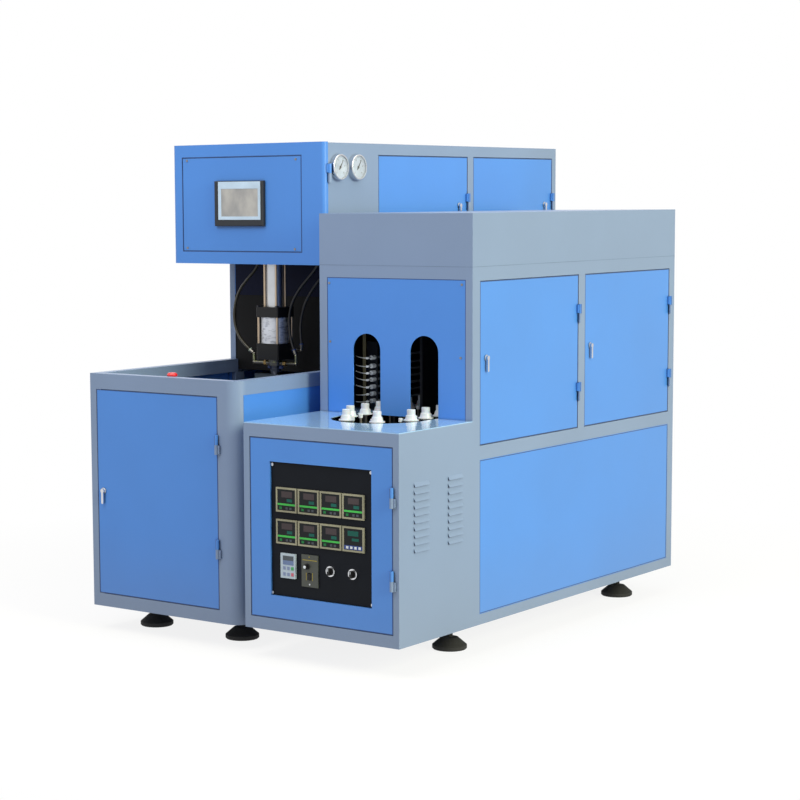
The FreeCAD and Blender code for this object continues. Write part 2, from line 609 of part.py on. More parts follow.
# ------------------------------------------------------------------ blowing unit frame
def blow_frame():
    """Welded frame: lower cabinet, upper body and overhanging head in one."""
    side = [(0, 0, FOOT_HEIGHT), (0, BLOW_DEPTH, FOOT_HEIGHT), (0, BLOW_DEPTH, BODY_HEIGHT),
            (0, HEAD_FRONT, BODY_HEIGHT), (0, HEAD_FRONT, HEAD_UNDERSIDE),
            (0, WELL_BACK, HEAD_UNDERSIDE), (0, WELL_BACK, RIM_HEIGHT), (0, 0, RIM_HEIGHT)]
    body = prism(side, Vector(BLOW_WIDTH, 0, 0))
    body = rounded_upright(body, CORNER_RADIUS, lambda x, y: y < 1)

    left, right = RAIL, BLOW_WIDTH - RAIL
    floor = FOOT_HEIGHT + FLOOR_SHEET
    back = BLOW_DEPTH - RAIL
    lower_top = RIM_HEIGHT - BORDER
    hollow = [
        block(left, right, RAIL, back, floor, lower_top),
        block(left, right, LEDGE_WIDTH + RAIL, WELL_BACK, lower_top, RIM_HEIGHT),
        block(left, right, RAIL, RAIL + LEDGE_WIDTH, RIM_HEIGHT - LEDGE_DROP, RIM_HEIGHT),
        block(left, right, WELL_BACK + RAIL, back, lower_top, BODY_HEIGHT - RAIL),
        block(left, right, HEAD_FRONT + RAIL, WELL_BACK + RAIL, BRACKET_TOP, BODY_HEIGHT - RAIL),
        block(POST_WIDTH, BLOW_WIDTH - POST_WIDTH, WELL_BACK, WELL_BACK + RAIL,
              lower_top, HEAD_UNDERSIDE),
        block(left, right, HEAD_FRONT + RAIL, WELL_BACK + RAIL, HEAD_UNDERSIDE, BRACKET_Z),
        block(left + RAIL, right - RAIL, HEAD_FRONT, HEAD_FRONT + RAIL,
              HEAD_UNDERSIDE + BORDER, BODY_HEIGHT - BORDER),
        block(2 * RAIL, BLOW_WIDTH - 2 * RAIL, HEAD_FRONT + 2 * RAIL, back - RAIL,
              BODY_HEIGHT - RAIL, BODY_HEIGHT - SKIN),
        block(SKIN, BLOW_WIDTH - SKIN, HEAD_FRONT + RAIL, UPPER_DOOR_STARTS[0] - RAIL,
              BRACKET_TOP, BODY_HEIGHT - RAIL),
    ]
    for cutter in hollow:
        body = body.cut(cutter)

    # openings of the doors and panels
    gap = DOOR_GAP
    front = block(FRONT_DOOR_LEFT - gap, FRONT_DOOR_LEFT + FRONT_DOOR_WIDTH + gap, 0, RAIL,
                  FOOT_HEIGHT + LOW_BORDER - gap, FRONT_DOOR_TOP + gap)
    body = body.cut(front)
    for y0, y1, z0, z1 in side_bays():
        body = body.cut(block(0, BLOW_WIDTH, y0 - gap, y1 + gap, z0 - gap, z1 + gap))
    body = body.cut(block(BORDER, BLOW_WIDTH - BORDER, back, BLOW_DEPTH,
                          FOOT_HEIGHT + LOW_BORDER, RIM_HEIGHT - BORDER))
    body = body.cut(block(BORDER, BLOW_WIDTH - BORDER, back, BLOW_DEPTH,
                          UPPER_DOOR_BOTTOM, UPPER_DOOR_TOP))

    # holes for the gauges' stems and the stop button
    for y in GAUGE_PLACES:
        body = body.cut(rod(GAUGE_STEM + RUNNING, Vector(BLOW_WIDTH - SKIN, y, GAUGE_HEIGHT),
                            RIGHT, SKIN))
    body = body.cut(rod(STOP_STEM + RUNNING, Vector(CENTRE_X, stop_y(), lower_top), UP, BORDER))

    return fuse([cylinder_bracket_cut(body)] + foot_rails() + blow_hinge_pins())


def side_bays():
    """Openings in the side walls as (y0, y1, z0, z1): three low panels, two upper doors."""
    low_z0 = FOOT_HEIGHT + LOW_BORDER
    low_z1 = RIM_HEIGHT - BORDER
    bays = [(BAY_FRONT, BAY_END, low_z0, low_z1)]
    for start in UPPER_DOOR_STARTS:
        end = start + UPPER_DOOR_LENGTH
        bays.append((start, end, low_z0, low_z1))
        bays.append((start, end, UPPER_DOOR_BOTTOM, UPPER_DOOR_TOP))
    return bays


def cylinder_bracket_cut(body):
    """Bore the head's cross plate for the stretch cylinder and its tie rods."""
    centre = Vector(CENTRE_X, BLOW_Y, BRACKET_Z)
    reach = STRETCH_TIE_PITCH * math.sqrt(0.5) + TIE_ROD + 2
    return body.cut(rod(reach, centre, UP, BRACKET_PLATE))


def bed_members():
    """Two bed beams for the clamp, each on three legs that stand on the floor sheet."""
    beds = []
    floor = FOOT_HEIGHT + FLOOR_SHEET
    y0 = MOULD_FRONT - PLATEN_THICK - 20
    y1 = REAR_PLATE_Y + PLATEN_THICK + 20
    for side in (-1, 1):
        x = CENTRE_X + side * (PLATEN_WIDTH / 2 - BED_WIDTH)
        half = BED_WIDTH / 2
        members = [block(x - half, x + half, y0, y1, BED_TOP - BED_WIDTH, BED_TOP)]
        for y in (y0, (y0 + y1) / 2 - half, y1 - BED_WIDTH):
            members.append(block(x - half, x + half, y, y + BED_WIDTH, floor, BED_TOP - 10))
        beds.append(fuse(members))
    return beds


def foot_rails():
    """Cross rails on the floor sheet above the feet."""
    floor = FOOT_HEIGHT + FLOOR_SHEET
    half = FOOT_RAIL / 2
    return [block(RAIL - 1, BLOW_WIDTH - RAIL + 1, y - half, y + half, floor - 1, floor + FOOT_RAIL_HEIGHT)
            for y in foot_rows()]


def foot_rows():
    """Y places of the blowing unit's front and rear feet."""
    return (FOOT_INSET_Y, BLOW_DEPTH - FOOT_INSET_Y)


def blow_door_hinges():
    """Hinge places on the blowing unit: (facing, x, y, z, face recess)."""
    door_right = FRONT_DOOR_LEFT + FRONT_DOOR_WIDTH + DOOR_GAP / 2
    places = [("front", door_right, 0.0, z) for z in FRONT_DOOR_HINGES]
    for start in UPPER_DOOR_STARTS:
        edge = start + UPPER_DOOR_LENGTH + DOOR_GAP / 2
        places += [("right", BLOW_WIDTH, edge, z) for z in UPPER_DOOR_HINGES]
    return places


def stop_y():
    """The stop button stands in the middle of the front rim's ledge."""
    return RAIL + LEDGE_WIDTH / 2


def blow_hinge_pins():
    """Frame halves of the blowing unit's hinges."""
    pins = []
    for facing, x, y, z in blow_door_hinges():
        if facing == "front":
            pins.append(facing_front(hinge_pin(0, z), x, y, 0))
        else:
            pins.append(facing_right(hinge_pin(0, z), x, y, 0))
    for z in COVER_HINGES:
        pins.append(cover_hinge_half(hinge_pin(0, z), z, False))
    return pins


def cover_axis():
    """Upright hinge line of the head cover, at its right rear edge."""
    return Vector(BLOW_WIDTH + COVER_RIGHT_OVERLAP + HINGE_PROUD, HEAD_FRONT - DOOR_GAP / 2, 0)


def cover_hinge_half(half, z, on_door):
    """Turn a hinge half onto the cover's side; the frame half reaches back to the wall."""
    axis = cover_axis()
    placed = facing_right(half, BLOW_WIDTH + COVER_RIGHT_OVERLAP, axis.y, 0)
    if on_door:
        return placed
    bottom = z - RUNNING - HINGE_LENGTH
    arm = block(BLOW_WIDTH - 1, axis.x, HEAD_FRONT + 1, HEAD_FRONT + 1 + HINGE_TAB,
                bottom + 2, z - RUNNING - 2)
    return placed.fuse(arm).removeSplitter()


# ------------------------------------------------------------------ blowing unit panels
def flat_panel(length, height):
    """Fixed sheet panel with folded edges, face at y = 0."""
    return door_shell(length, height)


def blow_panels():
    """Fixed blue panels: low bays on both sides, upper left, back, and the apron."""
    panels = []
    for y0, y1, z0, z1 in side_bays():
        low = z0 < RIM_HEIGHT - BORDER - 1
        panel = flat_panel(y1 - y0 + 2 * DOOR_GAP, z1 - z0 + 2 * DOOR_GAP)
        if low:
            panels.append(facing_right(panel, BLOW_WIDTH - FACE_RECESS, y0 - DOOR_GAP, z0 - DOOR_GAP))
        mirrored = panel.copy()
        mirrored.rotate(Vector(0, 0, 0), UP, -90)
        mirrored.translate(Vector(FACE_RECESS, y1 + DOOR_GAP, z0 - DOOR_GAP))
        panels.append(mirrored)
    width = BLOW_WIDTH - 2 * BORDER
    for z0, z1 in ((FOOT_HEIGHT + LOW_BORDER, RIM_HEIGHT - BORDER),
                   (UPPER_DOOR_BOTTOM, UPPER_DOOR_TOP)):
        panel = flat_panel(width, z1 - z0)
        panel.rotate(Vector(0, 0, 0), UP, 180)
        panel.translate(Vector(BLOW_WIDTH - BORDER, BLOW_DEPTH - FACE_RECESS, z0))
        panels.append(panel)
    apron = flat_panel(BLOW_WIDTH - 2 * POST_WIDTH, HEAD_UNDERSIDE - APRON_BOTTOM)
    panels.append(facing_front(apron, POST_WIDTH, WELL_BACK + FACE_RECESS, APRON_BOTTOM))
    return Part.makeCompound(panels)


def well_back_plate():
    """Dark steel plate that closes the well's rear opening above the clamp."""
    plate = flat_panel(BLOW_WIDTH - 2 * POST_WIDTH, APRON_BOTTOM - BACK_PLATE_BOTTOM)
    return facing_front(plate, POST_WIDTH, WELL_BACK + 3 * FACE_RECESS, BACK_PLATE_BOTTOM)


# ------------------------------------------------------------------ doors of the blowing unit
def front_door():
    """Front service door of the lower cabinet."""
    height = FRONT_DOOR_TOP - FOOT_HEIGHT - LOW_BORDER
    hole = latch_hole(FRONT_LATCH_X - FRONT_DOOR_LEFT, FRONT_LATCH_Z - FOOT_HEIGHT - LOW_BORDER)
    shell = door_shell(FRONT_DOOR_WIDTH, height, [hole])
    door = facing_front(shell, FRONT_DOOR_LEFT, FACE_RECESS, FOOT_HEIGHT + LOW_BORDER)
    return with_sleeves(door, "front", FRONT_DOOR_LEFT + FRONT_DOOR_WIDTH + DOOR_GAP / 2, 0.0,
                        FRONT_DOOR_HINGES)


def with_sleeves(door, facing, x, y, heights):
    """Weld the door halves of its hinges to a door."""
    parts = [door]
    for z in heights:
        sleeve = hinge_sleeve(0, z)
        pad = block(-HINGE_TAB, -DOOR_GAP / 2 - 1, -1, FACE_RECESS, z + 2, z + HINGE_LENGTH - 2)
        sleeve = sleeve.fuse(pad).removeSplitter()
        if facing == "front":
            parts.append(facing_front(sleeve, x, y, 0))
        else:
            parts.append(facing_right(sleeve, x, y, 0))
    return fuse(parts)


def upper_door(start):
    """One door of the upper body's right side."""
    height = UPPER_DOOR_TOP - UPPER_DOOR_BOTTOM
    hole = latch_hole(UPPER_DOOR_LENGTH - UPPER_LATCH_INSET, UPPER_LATCH_Z - UPPER_DOOR_BOTTOM)
    shell = door_shell(UPPER_DOOR_LENGTH, height, [hole])
    door = facing_right(shell, BLOW_WIDTH - FACE_RECESS, start, UPPER_DOOR_BOTTOM)
    return with_sleeves(door, "right", BLOW_WIDTH, start + UPPER_DOOR_LENGTH + DOOR_GAP / 2,
                        UPPER_DOOR_HINGES)


# ------------------------------------------------------------------ head cover
def head_cover():
    """Folded cover of the head: rounded front corners, window for the inset plate."""
    left = -COVER_LEFT_OVERLAP
    width = BLOW_WIDTH + COVER_LEFT_OVERLAP + COVER_RIGHT_OVERLAP
    top = BODY_HEIGHT + COVER_RISE
    rear = COVER_FRONT + COVER_DEPTH
    outer = block(left, left + width, COVER_FRONT, rear, HEAD_UNDERSIDE, top)
    outer = rounded_upright(outer, COVER_RADIUS, lambda x, y: y < COVER_FRONT + 1)
    inner = block(left + SHEET, left + width - SHEET, COVER_FRONT + SHEET, rear + 1,
                  HEAD_UNDERSIDE + SHEET, top - SHEET)
    inner = rounded_upright(inner, COVER_RADIUS - SHEET, lambda x, y: y < COVER_FRONT + SHEET + 1)
    cover = outer.cut(inner)
    x0, x1 = INSET_LEFT - DOOR_GAP, INSET_LEFT + INSET_WIDTH + DOOR_GAP
    z0, z1 = INSET_BOTTOM - DOOR_GAP, INSET_BOTTOM + INSET_HEIGHT + DOOR_GAP
    seat = COVER_FRONT + FACE_RECESS + INSET_PLATE
    cover = cover.cut(block(x0, x1, COVER_FRONT, COVER_FRONT + SHEET, z0, z1))
    frame = block(x0 - SHEET, x1 + SHEET, COVER_FRONT + SHEET, seat + SHEET, z0 - SHEET, z1 + SHEET)
    frame = frame.cut(block(x0, x1, COVER_FRONT, seat, z0, z1))
    frame = frame.cut(block(x0 + LIP, x1 - LIP, COVER_FRONT, seat + SHEET, z0 + LIP, z1 - LIP))
    parts = [cover, frame]
    for z in COVER_HINGES:
        parts.append(cover_hinge_half(hinge_sleeve(0, z), z, True))
    return fuse(parts)


def head_plate():
    """Flat plate set into the cover, cut out for the operator panel."""
    y0 = COVER_FRONT + FACE_RECESS
    plate = block(INSET_LEFT, INSET_LEFT + INSET_WIDTH, y0, y0 + INSET_PLATE,
                  INSET_BOTTOM, INSET_BOTTOM + INSET_HEIGHT)
    rim = OPERATOR_RIM
    window = block(OPERATOR_LEFT + rim, OPERATOR_LEFT + OPERATOR_WIDTH - rim, y0, y0 + INSET_PLATE,
                   OPERATOR_BOTTOM + rim, OPERATOR_BOTTOM + OPERATOR_HEIGHT - rim)
    return plate.cut(window)


def operator_panel():
    """Touch panel: bezel in front of the plate, case behind it, screen set back."""
    face = COVER_FRONT + FACE_RECESS
    front = face - OPERATOR_STAND
    x0, z0 = OPERATOR_LEFT, OPERATOR_BOTTOM
    bezel = block(x0, x0 + OPERATOR_WIDTH, front, face, z0, z0 + OPERATOR_HEIGHT)
    soft_edges = [e for e in bezel.Edges if all(abs(v.Y - front) < 0.01 for v in e.Vertexes)]
    bezel = bezel.makeChamfer(BEZEL_CHAMFER, soft_edges)
    rim = OPERATOR_RIM + RUNNING + 0.2
    case = block(x0 + rim, x0 + OPERATOR_WIDTH - rim, face - 1, face + OPERATOR_CASE,
                 z0 + rim, z0 + OPERATOR_HEIGHT - rim)
    screen = block(x0 + SCREEN_LEFT, x0 + SCREEN_LEFT + SCREEN_WIDTH, front - 1, front + SCREEN_DEPTH,
                   z0 + SCREEN_BOTTOM, z0 + SCREEN_BOTTOM + SCREEN_HEIGHT)
    return fuse([bezel, case]).cut(screen)


# ------------------------------------------------------------------ gauges and stop button
def pressure_gauges():
    """Two round gauges with rolled rims, open in front of their dials."""
    gauges = []
    for y in GAUGE_PLACES:
        centre = Vector(BLOW_WIDTH, y, GAUGE_HEIGHT)
        rim_inner = GAUGE_RADIUS - GAUGE_RIM
        case = rod(GAUGE_RADIUS, centre, RIGHT, GAUGE_DEPTH)
        rim = BLOW_WIDTH + GAUGE_DEPTH
        edges = [e for e in case.Edges if e.Closed and abs(e.Vertexes[0].X - rim) < 0.01]
        case = case.makeFillet(3.0, edges)
        dial = rod(rim_inner, centre + Vector(GAUGE_DEPTH - GAUGE_SUNK, 0, 0), RIGHT, GAUGE_SUNK)
        stem = rod(GAUGE_STEM, centre - Vector(20, 0, 0), RIGHT, 20)
        nut = rod(GAUGE_NUT, centre - Vector(SKIN + GAUGE_STEM, 0, 0), RIGHT, GAUGE_STEM)
        bore = rod(2 + FIT, centre + Vector(GAUGE_DEPTH - 14, 0, 0), RIGHT, 14)
        gauges.append(fuse([case.cut(dial), stem, nut]).cut(bore))
    return Part.makeCompound(gauges)


def gauge_needle(y):
    """Pointer with its hub and pivot, resting at about ten o'clock of the dial's sweep."""
    centre = Vector(BLOW_WIDTH + GAUGE_DEPTH - GAUGE_SUNK, y, GAUGE_HEIGHT)
    pivot = rod(2, centre - Vector(5, 0, 0), RIGHT, 7)
    hub = rod(NEEDLE_HUB, centre + Vector(RUNNING, 0, 0), RIGHT, 2)
    length, tail, half = NEEDLE_LENGTH, NEEDLE_TAIL, 1.6
    points = [(0, -half * 1.6, -tail), (0, half * 1.6, -tail), (0, half * 0.4, length),
              (0, -half * 0.4, length)]
    blade = prism(points, Vector(1.2, 0, 0))
    blade.rotate(Vector(0, 0, 0), RIGHT, NEEDLE_REST)
    blade.translate(centre + Vector(RUNNING + 0.4, 0, 0))
    return fuse([hub, pivot, blade])


def stop_button():
    """Red mushroom button on the ledge of the front rim, with its stem."""
    base = RIM_HEIGHT - LEDGE_DROP
    gap = STOP_TRAVEL + 1
    profile = [(0, gap), (STOP_RADIUS - 4, gap), (STOP_RADIUS, gap + 4), (STOP_RADIUS, gap + 9),
               (STOP_RADIUS - 5, STOP_HEIGHT + gap - 2), (0, STOP_HEIGHT + gap)]
    cap = turned(profile, Vector(CENTRE_X, stop_y(), base))
    stem = rod(STOP_STEM, Vector(CENTRE_X, stop_y(), base - 30), UP, 30 + gap + 2)
    return fuse([cap, stem])


# ------------------------------------------------------------------ feet
def foot_places():
    """All eight levelling feet as (x, y, height to the cabinet)."""
    places = []
    for y in foot_rows():
        places += [(x, y, FOOT_HEIGHT) for x in (FOOT_INSET_X, BLOW_WIDTH - FOOT_INSET_X)]
    for y in (HEATER_FOOT_Y, HEATER_BACK - FOOT_INSET_Y):
        places += [(x, y, HEATER_BASE) for x in (HEATER_LEFT + FOOT_INSET_X, HEATER_RIGHT - FOOT_INSET_X)]
    return places


def levelling_feet():
    """Conical rubber machine feet with their studs and lock nuts, up to the cabinets."""
    feet = []
    for x, y, height in foot_places():
        profile = [(0, 0), (FOOT_RADIUS - 4, 0), (FOOT_RADIUS, 4), (FOOT_RADIUS, FOOT_EDGE),
                   (FOOT_RADIUS / 2, FOOT_CONE), (FOOT_STUD, FOOT_CONE + 2),
                   (FOOT_STUD, height - FOOT_NUT_HEIGHT), (FOOT_NUT, height - FOOT_NUT_HEIGHT),
                   (FOOT_NUT, height), (0, height)]
        feet.append(turned(profile, Vector(x, y, 0)))
    return Part.makeCompound(feet)


# ------------------------------------------------------------------ blowing cylinders
def square_plate(size, z0, z1):
    """Square cap plate about the blowing axis."""
    half = size / 2
    return block(CENTRE_X - half, CENTRE_X + half, BLOW_Y - half, BLOW_Y + half, z0, z1)


def tie_places(pitch):
    """Four tie-rod places about the blowing axis."""
    half = pitch / 2
    return [Vector(CENTRE_X + sx * half, BLOW_Y + sy * half, 0) for sx in (-1, 1) for sy in (-1, 1)]


def blow_axis(z):
    """Point on the blowing axis."""
    return Vector(CENTRE_X, BLOW_Y, z)


def cylinder_caps():
    """Lower, middle and top caps that the tie rods pull onto the two barrels."""
    lower = square_plate(CAP_SIZE, LOWER_CAP_BOTTOM, LOWER_CAP_TOP)
    lower = lower.cut(rod(SEAL_ROD + FIT, blow_axis(LOWER_CAP_BOTTOM), UP, LOWER_CAP_HEIGHT))
    middle = square_plate(CAP_SIZE, SEAL_BARREL_TOP, MIDDLE_CAP_TOP)
    middle = middle.cut(rod(STRETCH_ROD + FIT, blow_axis(SEAL_BARREL_TOP), UP, MIDDLE_CAP_HEIGHT))
    top = square_plate(TOP_CAP_SIZE, STRETCH_BARREL_TOP, STRETCH_BARREL_TOP + TOP_CAP_HEIGHT)
    caps = []
    for cap in (lower, middle, top):
        upright = [e for e in cap.Edges if abs(e.Length - cap.BoundBox.ZLength) < 0.01
                   and not e.Closed and abs(e.Vertexes[0].X - CENTRE_X) > 30]
        caps.append(cap.makeChamfer(4.0, upright))
    lower, middle, top = caps
    for place in tie_places(SEAL_TIE_PITCH):
        lower = lower.cut(rod(TIE_ROD, place + Vector(0, 0, LOWER_CAP_TOP - TIE_THREAD), UP, TIE_THREAD))
        middle = middle.cut(rod(TIE_ROD, place + Vector(0, 0, SEAL_BARREL_TOP), UP, TIE_THREAD))
    for place in tie_places(STRETCH_TIE_PITCH):
        middle = middle.cut(rod(TIE_ROD, place + Vector(0, 0, MIDDLE_CAP_TOP - TIE_THREAD), UP, TIE_THREAD))
        top = top.cut(rod(TIE_ROD, place + Vector(0, 0, STRETCH_BARREL_TOP), UP, TIE_THREAD))
    return Part.makeCompound([lower, middle, top])


def cylinder_tie_rods():
    """Tie rods of both cylinders, with their ends inside the caps."""
    rods = []
    for place in tie_places(SEAL_TIE_PITCH):
        z0 = LOWER_CAP_TOP - TIE_THREAD
        rods.append(rod(TIE_ROD, place + Vector(0, 0, z0), UP, SEAL_BARREL_LENGTH + 2 * TIE_THREAD))
    for place in tie_places(STRETCH_TIE_PITCH):
        z0 = MIDDLE_CAP_TOP - TIE_THREAD
        rods.append(rod(TIE_ROD, place + Vector(0, 0, z0), UP, STRETCH_BARREL_LENGTH + 2 * TIE_THREAD))
    return Part.makeCompound(rods)


def seal_cylinder():
    """Short wide barrel that drives the blowing nozzle."""
    return tube(SEAL_BORE + SEAL_WALL, SEAL_BORE, blow_axis(LOWER_CAP_TOP), UP, SEAL_BARREL_LENGTH)


def stretch_cylinder():
    """Long barrel with the flange that rests on the head's cross plate."""
    barrel_radius = STRETCH_BORE + STRETCH_WALL
    barrel = rod(barrel_radius, blow_axis(MIDDLE_CAP_TOP), UP, STRETCH_BARREL_LENGTH)
    flange = square_plate(FLANGE_SIZE, BRACKET_TOP, BRACKET_TOP + FLANGE_THICK)
    for place in tie_places(STRETCH_TIE_PITCH):
        flange = flange.cut(rod(TIE_ROD + 1, place + Vector(0, 0, BRACKET_TOP), UP, FLANGE_THICK))
    bore = rod(STRETCH_BORE, blow_axis(MIDDLE_CAP_TOP), UP, STRETCH_BARREL_LENGTH)
    return barrel.fuse(flange).removeSplitter().cut(bore)


def seal_piston():
    """Piston, hollow rod and blowing nozzle, at the top of their stroke."""
    piston_top = SEAL_BARREL_TOP - 3
    piston_bottom = piston_top - 26
    rod_bottom = NOZZLE_TIP + 26
    profile = [(ROD_CHANNEL, NOZZLE_TIP), (15, NOZZLE_TIP), (22, NOZZLE_TIP + 14),
               (22, rod_bottom), (SEAL_ROD, rod_bottom), (SEAL_ROD, piston_bottom),
               (SEAL_BORE - RUNNING, piston_bottom), (SEAL_BORE - RUNNING, piston_top),
               (ROD_CHANNEL, piston_top)]
    return turned(profile, blow_axis(0))


def stretch_rod():
    """Thin rod and piston that push the preform's bottom down."""
    top = STRETCH_BARREL_TOP - 4
    tip = NOZZLE_TIP + 12
    profile = [(0, tip), (STRETCH_ROD - 3, tip), (STRETCH_ROD, tip + 4), (STRETCH_ROD, top - 24),
               (STRETCH_BORE - RUNNING, top - 24), (STRETCH_BORE - RUNNING, top), (0, top)]
    return turned(profile, blow_axis(0))


def hung(route):
    """Points of a hose route between its gland and the lower cap."""
    share = (GLAND_Z - LOWER_CAP_BOTTOM) / route[0][2]
    return [Vector(CENTRE_X + dx, BLOW_Y + dy, LOWER_CAP_BOTTOM + dz * share) for dx, dy, dz in route]


def hose_end(route):
    """Lower end of a hose and the direction in which it runs into its fitting."""
    points = hung(route)
    return points[-1], (points[-1] - points[-2]).normalize()


def air_manifold():
    """Ring under the lower cap that feeds blowing air, with an elbow and a nut for each hose."""
    z0 = LOWER_CAP_BOTTOM - MANIFOLD_HEIGHT
    port_z = z0 + PORT_RISE
    parts = [rod(MANIFOLD_RADIUS, blow_axis(z0), UP, MANIFOLD_HEIGHT)]
    for route, side in ((HOSE_LEFT, -1), (HOSE_RIGHT, 1)):
        end, heading = hose_end(route)
        knee = end + heading * FITTING_LENGTH
        corner = Vector(knee.x, BLOW_Y, port_z)
        inner_x = CENTRE_X + side * (MANIFOLD_RADIUS - 8)
        outward = Vector(side, 0, 0)
        arm = rod(HOSE_RADIUS, Vector(inner_x, BLOW_Y, port_z), outward, abs(knee.x - inner_x))
        collar = rod(COLLAR_RADIUS, Vector(inner_x, BLOW_Y, port_z), outward, MANIFOLD_RADIUS)
        nut = rod(NUT_RADIUS, end, heading, FITTING_LENGTH * 0.7)
        neck = rod(HOSE_RADIUS, end, heading, FITTING_LENGTH)
        riser = rod(HOSE_RADIUS, corner, UP, knee.z - port_z)
        elbows = [Part.makeSphere(KNEE_RADIUS, knee), Part.makeSphere(KNEE_RADIUS, corner)]
        parts += [arm, collar, nut, neck, riser] + elbows
    return fuse(parts).cut(rod(SEAL_ROD + 2, blow_axis(z0), UP, MANIFOLD_HEIGHT))


def port_elbow():
    """Elbow from the lower cap's right side to the rear hose."""
    end, heading = hose_end(HOSE_REAR)
    knee = end + heading * FITTING_LENGTH
    cap_side = CENTRE_X + CAP_SIZE / 2
    port = Vector(cap_side, knee.y, knee.z)
    return fuse([rod(HOSE_RADIUS, port, RIGHT, knee.x - cap_side),
                 rod(COLLAR_RADIUS, port, RIGHT, MANIFOLD_RADIUS / 2), Part.makeSphere(KNEE_RADIUS, knee),
                 rod(HOSE_RADIUS, end, heading, FITTING_LENGTH),
                 rod(NUT_RADIUS, end, heading, FITTING_LENGTH * 0.7)])


# ------------------------------------------------------------------ hoses
def hose(points):
    """Round hose along a hand-chosen route: straight runs joined by tangent arcs."""
    route = hung(points)
    edges = []
    radii = []
    cursor = route[0]
    for before, corner, after in zip(route, route[1:], route[2:]):
        run_in, run_out = corner - before, after - corner
        turn = run_in.getAngle(run_out)
        radius = 0.45 * min(run_in.Length, run_out.Length) / math.tan(turn / 2)
        setback = 0.45 * min(run_in.Length, run_out.Length)
        start = corner - run_in.normalize() * setback
        end = corner + run_out.normalize() * setback
        inward = (start + end) * 0.5 - corner
        depth = radius * (1 / math.cos(turn / 2) - 1)
        middle = corner + inward.normalize() * depth
        edges.append(Part.LineSegment(cursor, start).toShape())
        edges.append(Part.Arc(start, middle, end).toShape())
        radii.append(radius)
        cursor = end
    edges.append(Part.LineSegment(cursor, route[-1]).toShape())
    path = Part.Wire(edges)
    heading = route[1] - route[0]
    circle = Part.Wire(Part.makeCircle(HOSE_RADIUS, route[0], heading))
    solid = path.makePipeShell([circle], True, False)
    ratio = solid.Volume / (math.pi * HOSE_RADIUS ** 2 * path.Length)
    print("hose length %.0f, smallest radius %.0f, volume ratio %.4f" % (path.Length, min(radii), ratio))
    return solid


def hose_glands():
    """Nuts under the cross plate that hold the hoses' upper ends."""
    glands = []
    for route in (HOSE_LEFT, HOSE_RIGHT, HOSE_REAR):
        glands.append(rod(GLAND_RADIUS, hung(route)[0], UP, GLAND_HEIGHT))
    return glands


# ------------------------------------------------------------------ mould clamp
def tie_bar_places():
    """Tie bar axes as (x, z)."""
    half = TIE_SPACING_X / 2
    return [(CENTRE_X + side * half, z) for side in (-1, 1) for z in (TIE_LOW, TIE_HIGH)]


def platen(y0, bore):
    """Upright clamp plate with four tie bar holes of the given radius."""
    half = PLATEN_WIDTH / 2
    plate = block(CENTRE_X - half, CENTRE_X + half, y0, y0 + PLATEN_THICK, PLATEN_BOTTOM, PLATEN_TOP)
    for x, z in tie_bar_places():
        plate = plate.cut(rod(bore, Vector(x, y0, z), BACK, PLATEN_THICK))
    return plate


def clamp_plates():
    """Fixed front platen and rear plate, standing on the bed beams."""
    front = platen(MOULD_FRONT - PLATEN_THICK, TIE_BAR)
    rear = platen(REAR_PLATE_Y, TIE_BAR)
    rear = rear.cut(rod(CLAMP_ROD + FIT, Vector(CENTRE_X, REAR_PLATE_Y, CLAMP_Z), BACK, PLATEN_THICK))
    return Part.makeCompound([front, rear])


def tie_bars():
    """Four bars that join the end plates, with nuts at both ends."""
    y0 = MOULD_FRONT - PLATEN_THICK - TIE_END
    y1 = REAR_PLATE_Y + PLATEN_THICK + TIE_END
    bars = []
    for x, z in tie_bar_places():
        bar = rod(TIE_BAR, Vector(x, y0, z), BACK, y1 - y0)
        nut = rod(TIE_BAR + TIE_NUT, Vector(x, y0 + 4, z), BACK, TIE_END - 4)
        far_nut = rod(TIE_BAR + TIE_NUT, Vector(x, y1 - TIE_END, z), BACK, TIE_END - 4)
        bars.append(fuse([bar, nut, far_nut]))
    return Part.makeCompound(bars)


def moving_platen():
    """Sliding plate that carries the rear mould half on the tie bars."""
    plate = platen(MOULD_REAR, TIE_BAR + FIT)
    lift = RUNNING + 0.2
    return plate.cut(block(0, BLOW_WIDTH, MOULD_REAR, MOULD_REAR + PLATEN_THICK,
                           PLATEN_BOTTOM, PLATEN_BOTTOM + lift))


def bottle_cavity():
    """Space of the blown bottle with its neck, about the blowing axis."""
    base = MOULD_BOTTOM + BASE_PLUG
    profile = [(0, base - 1), (BOTTLE_RADIUS, base - 1), (BOTTLE_RADIUS, shoulder_z()),
               (NECK_RADIUS + 30, neck_seam()), (NECK_RADIUS, neck_seam() + 20),
               (NECK_RADIUS, MOULD_TOP + 1), (0, MOULD_TOP + 1)]
    return turned(profile, blow_axis(0))


def shoulder_z():
    """Height where the bottle's straight wall ends."""
    return MOULD_BOTTOM + BASE_PLUG + BOTTLE_WALL


def neck_seam():
    """Height where the neck insert sits on the mould's body."""
    return shoulder_z() + SHOULDER_LENGTH


def mould_half(front):
    """One mould half: body with its half of the bottle, and the neck insert bolted on top."""
    y0 = MOULD_FRONT if front else BLOW_Y
    x0, x1 = CENTRE_X - MOULD_WIDTH / 2, CENTRE_X + MOULD_WIDTH / 2
    body = block(x0, x1, y0, y0 + MOULD_DEPTH, MOULD_BOTTOM + BASE_PLUG, neck_seam())
    insert = block(x0, x1, y0, y0 + MOULD_DEPTH, neck_seam(), MOULD_TOP)
    cavity = bottle_cavity()
    return Part.makeCompound([body.cut(cavity), insert.cut(cavity)])


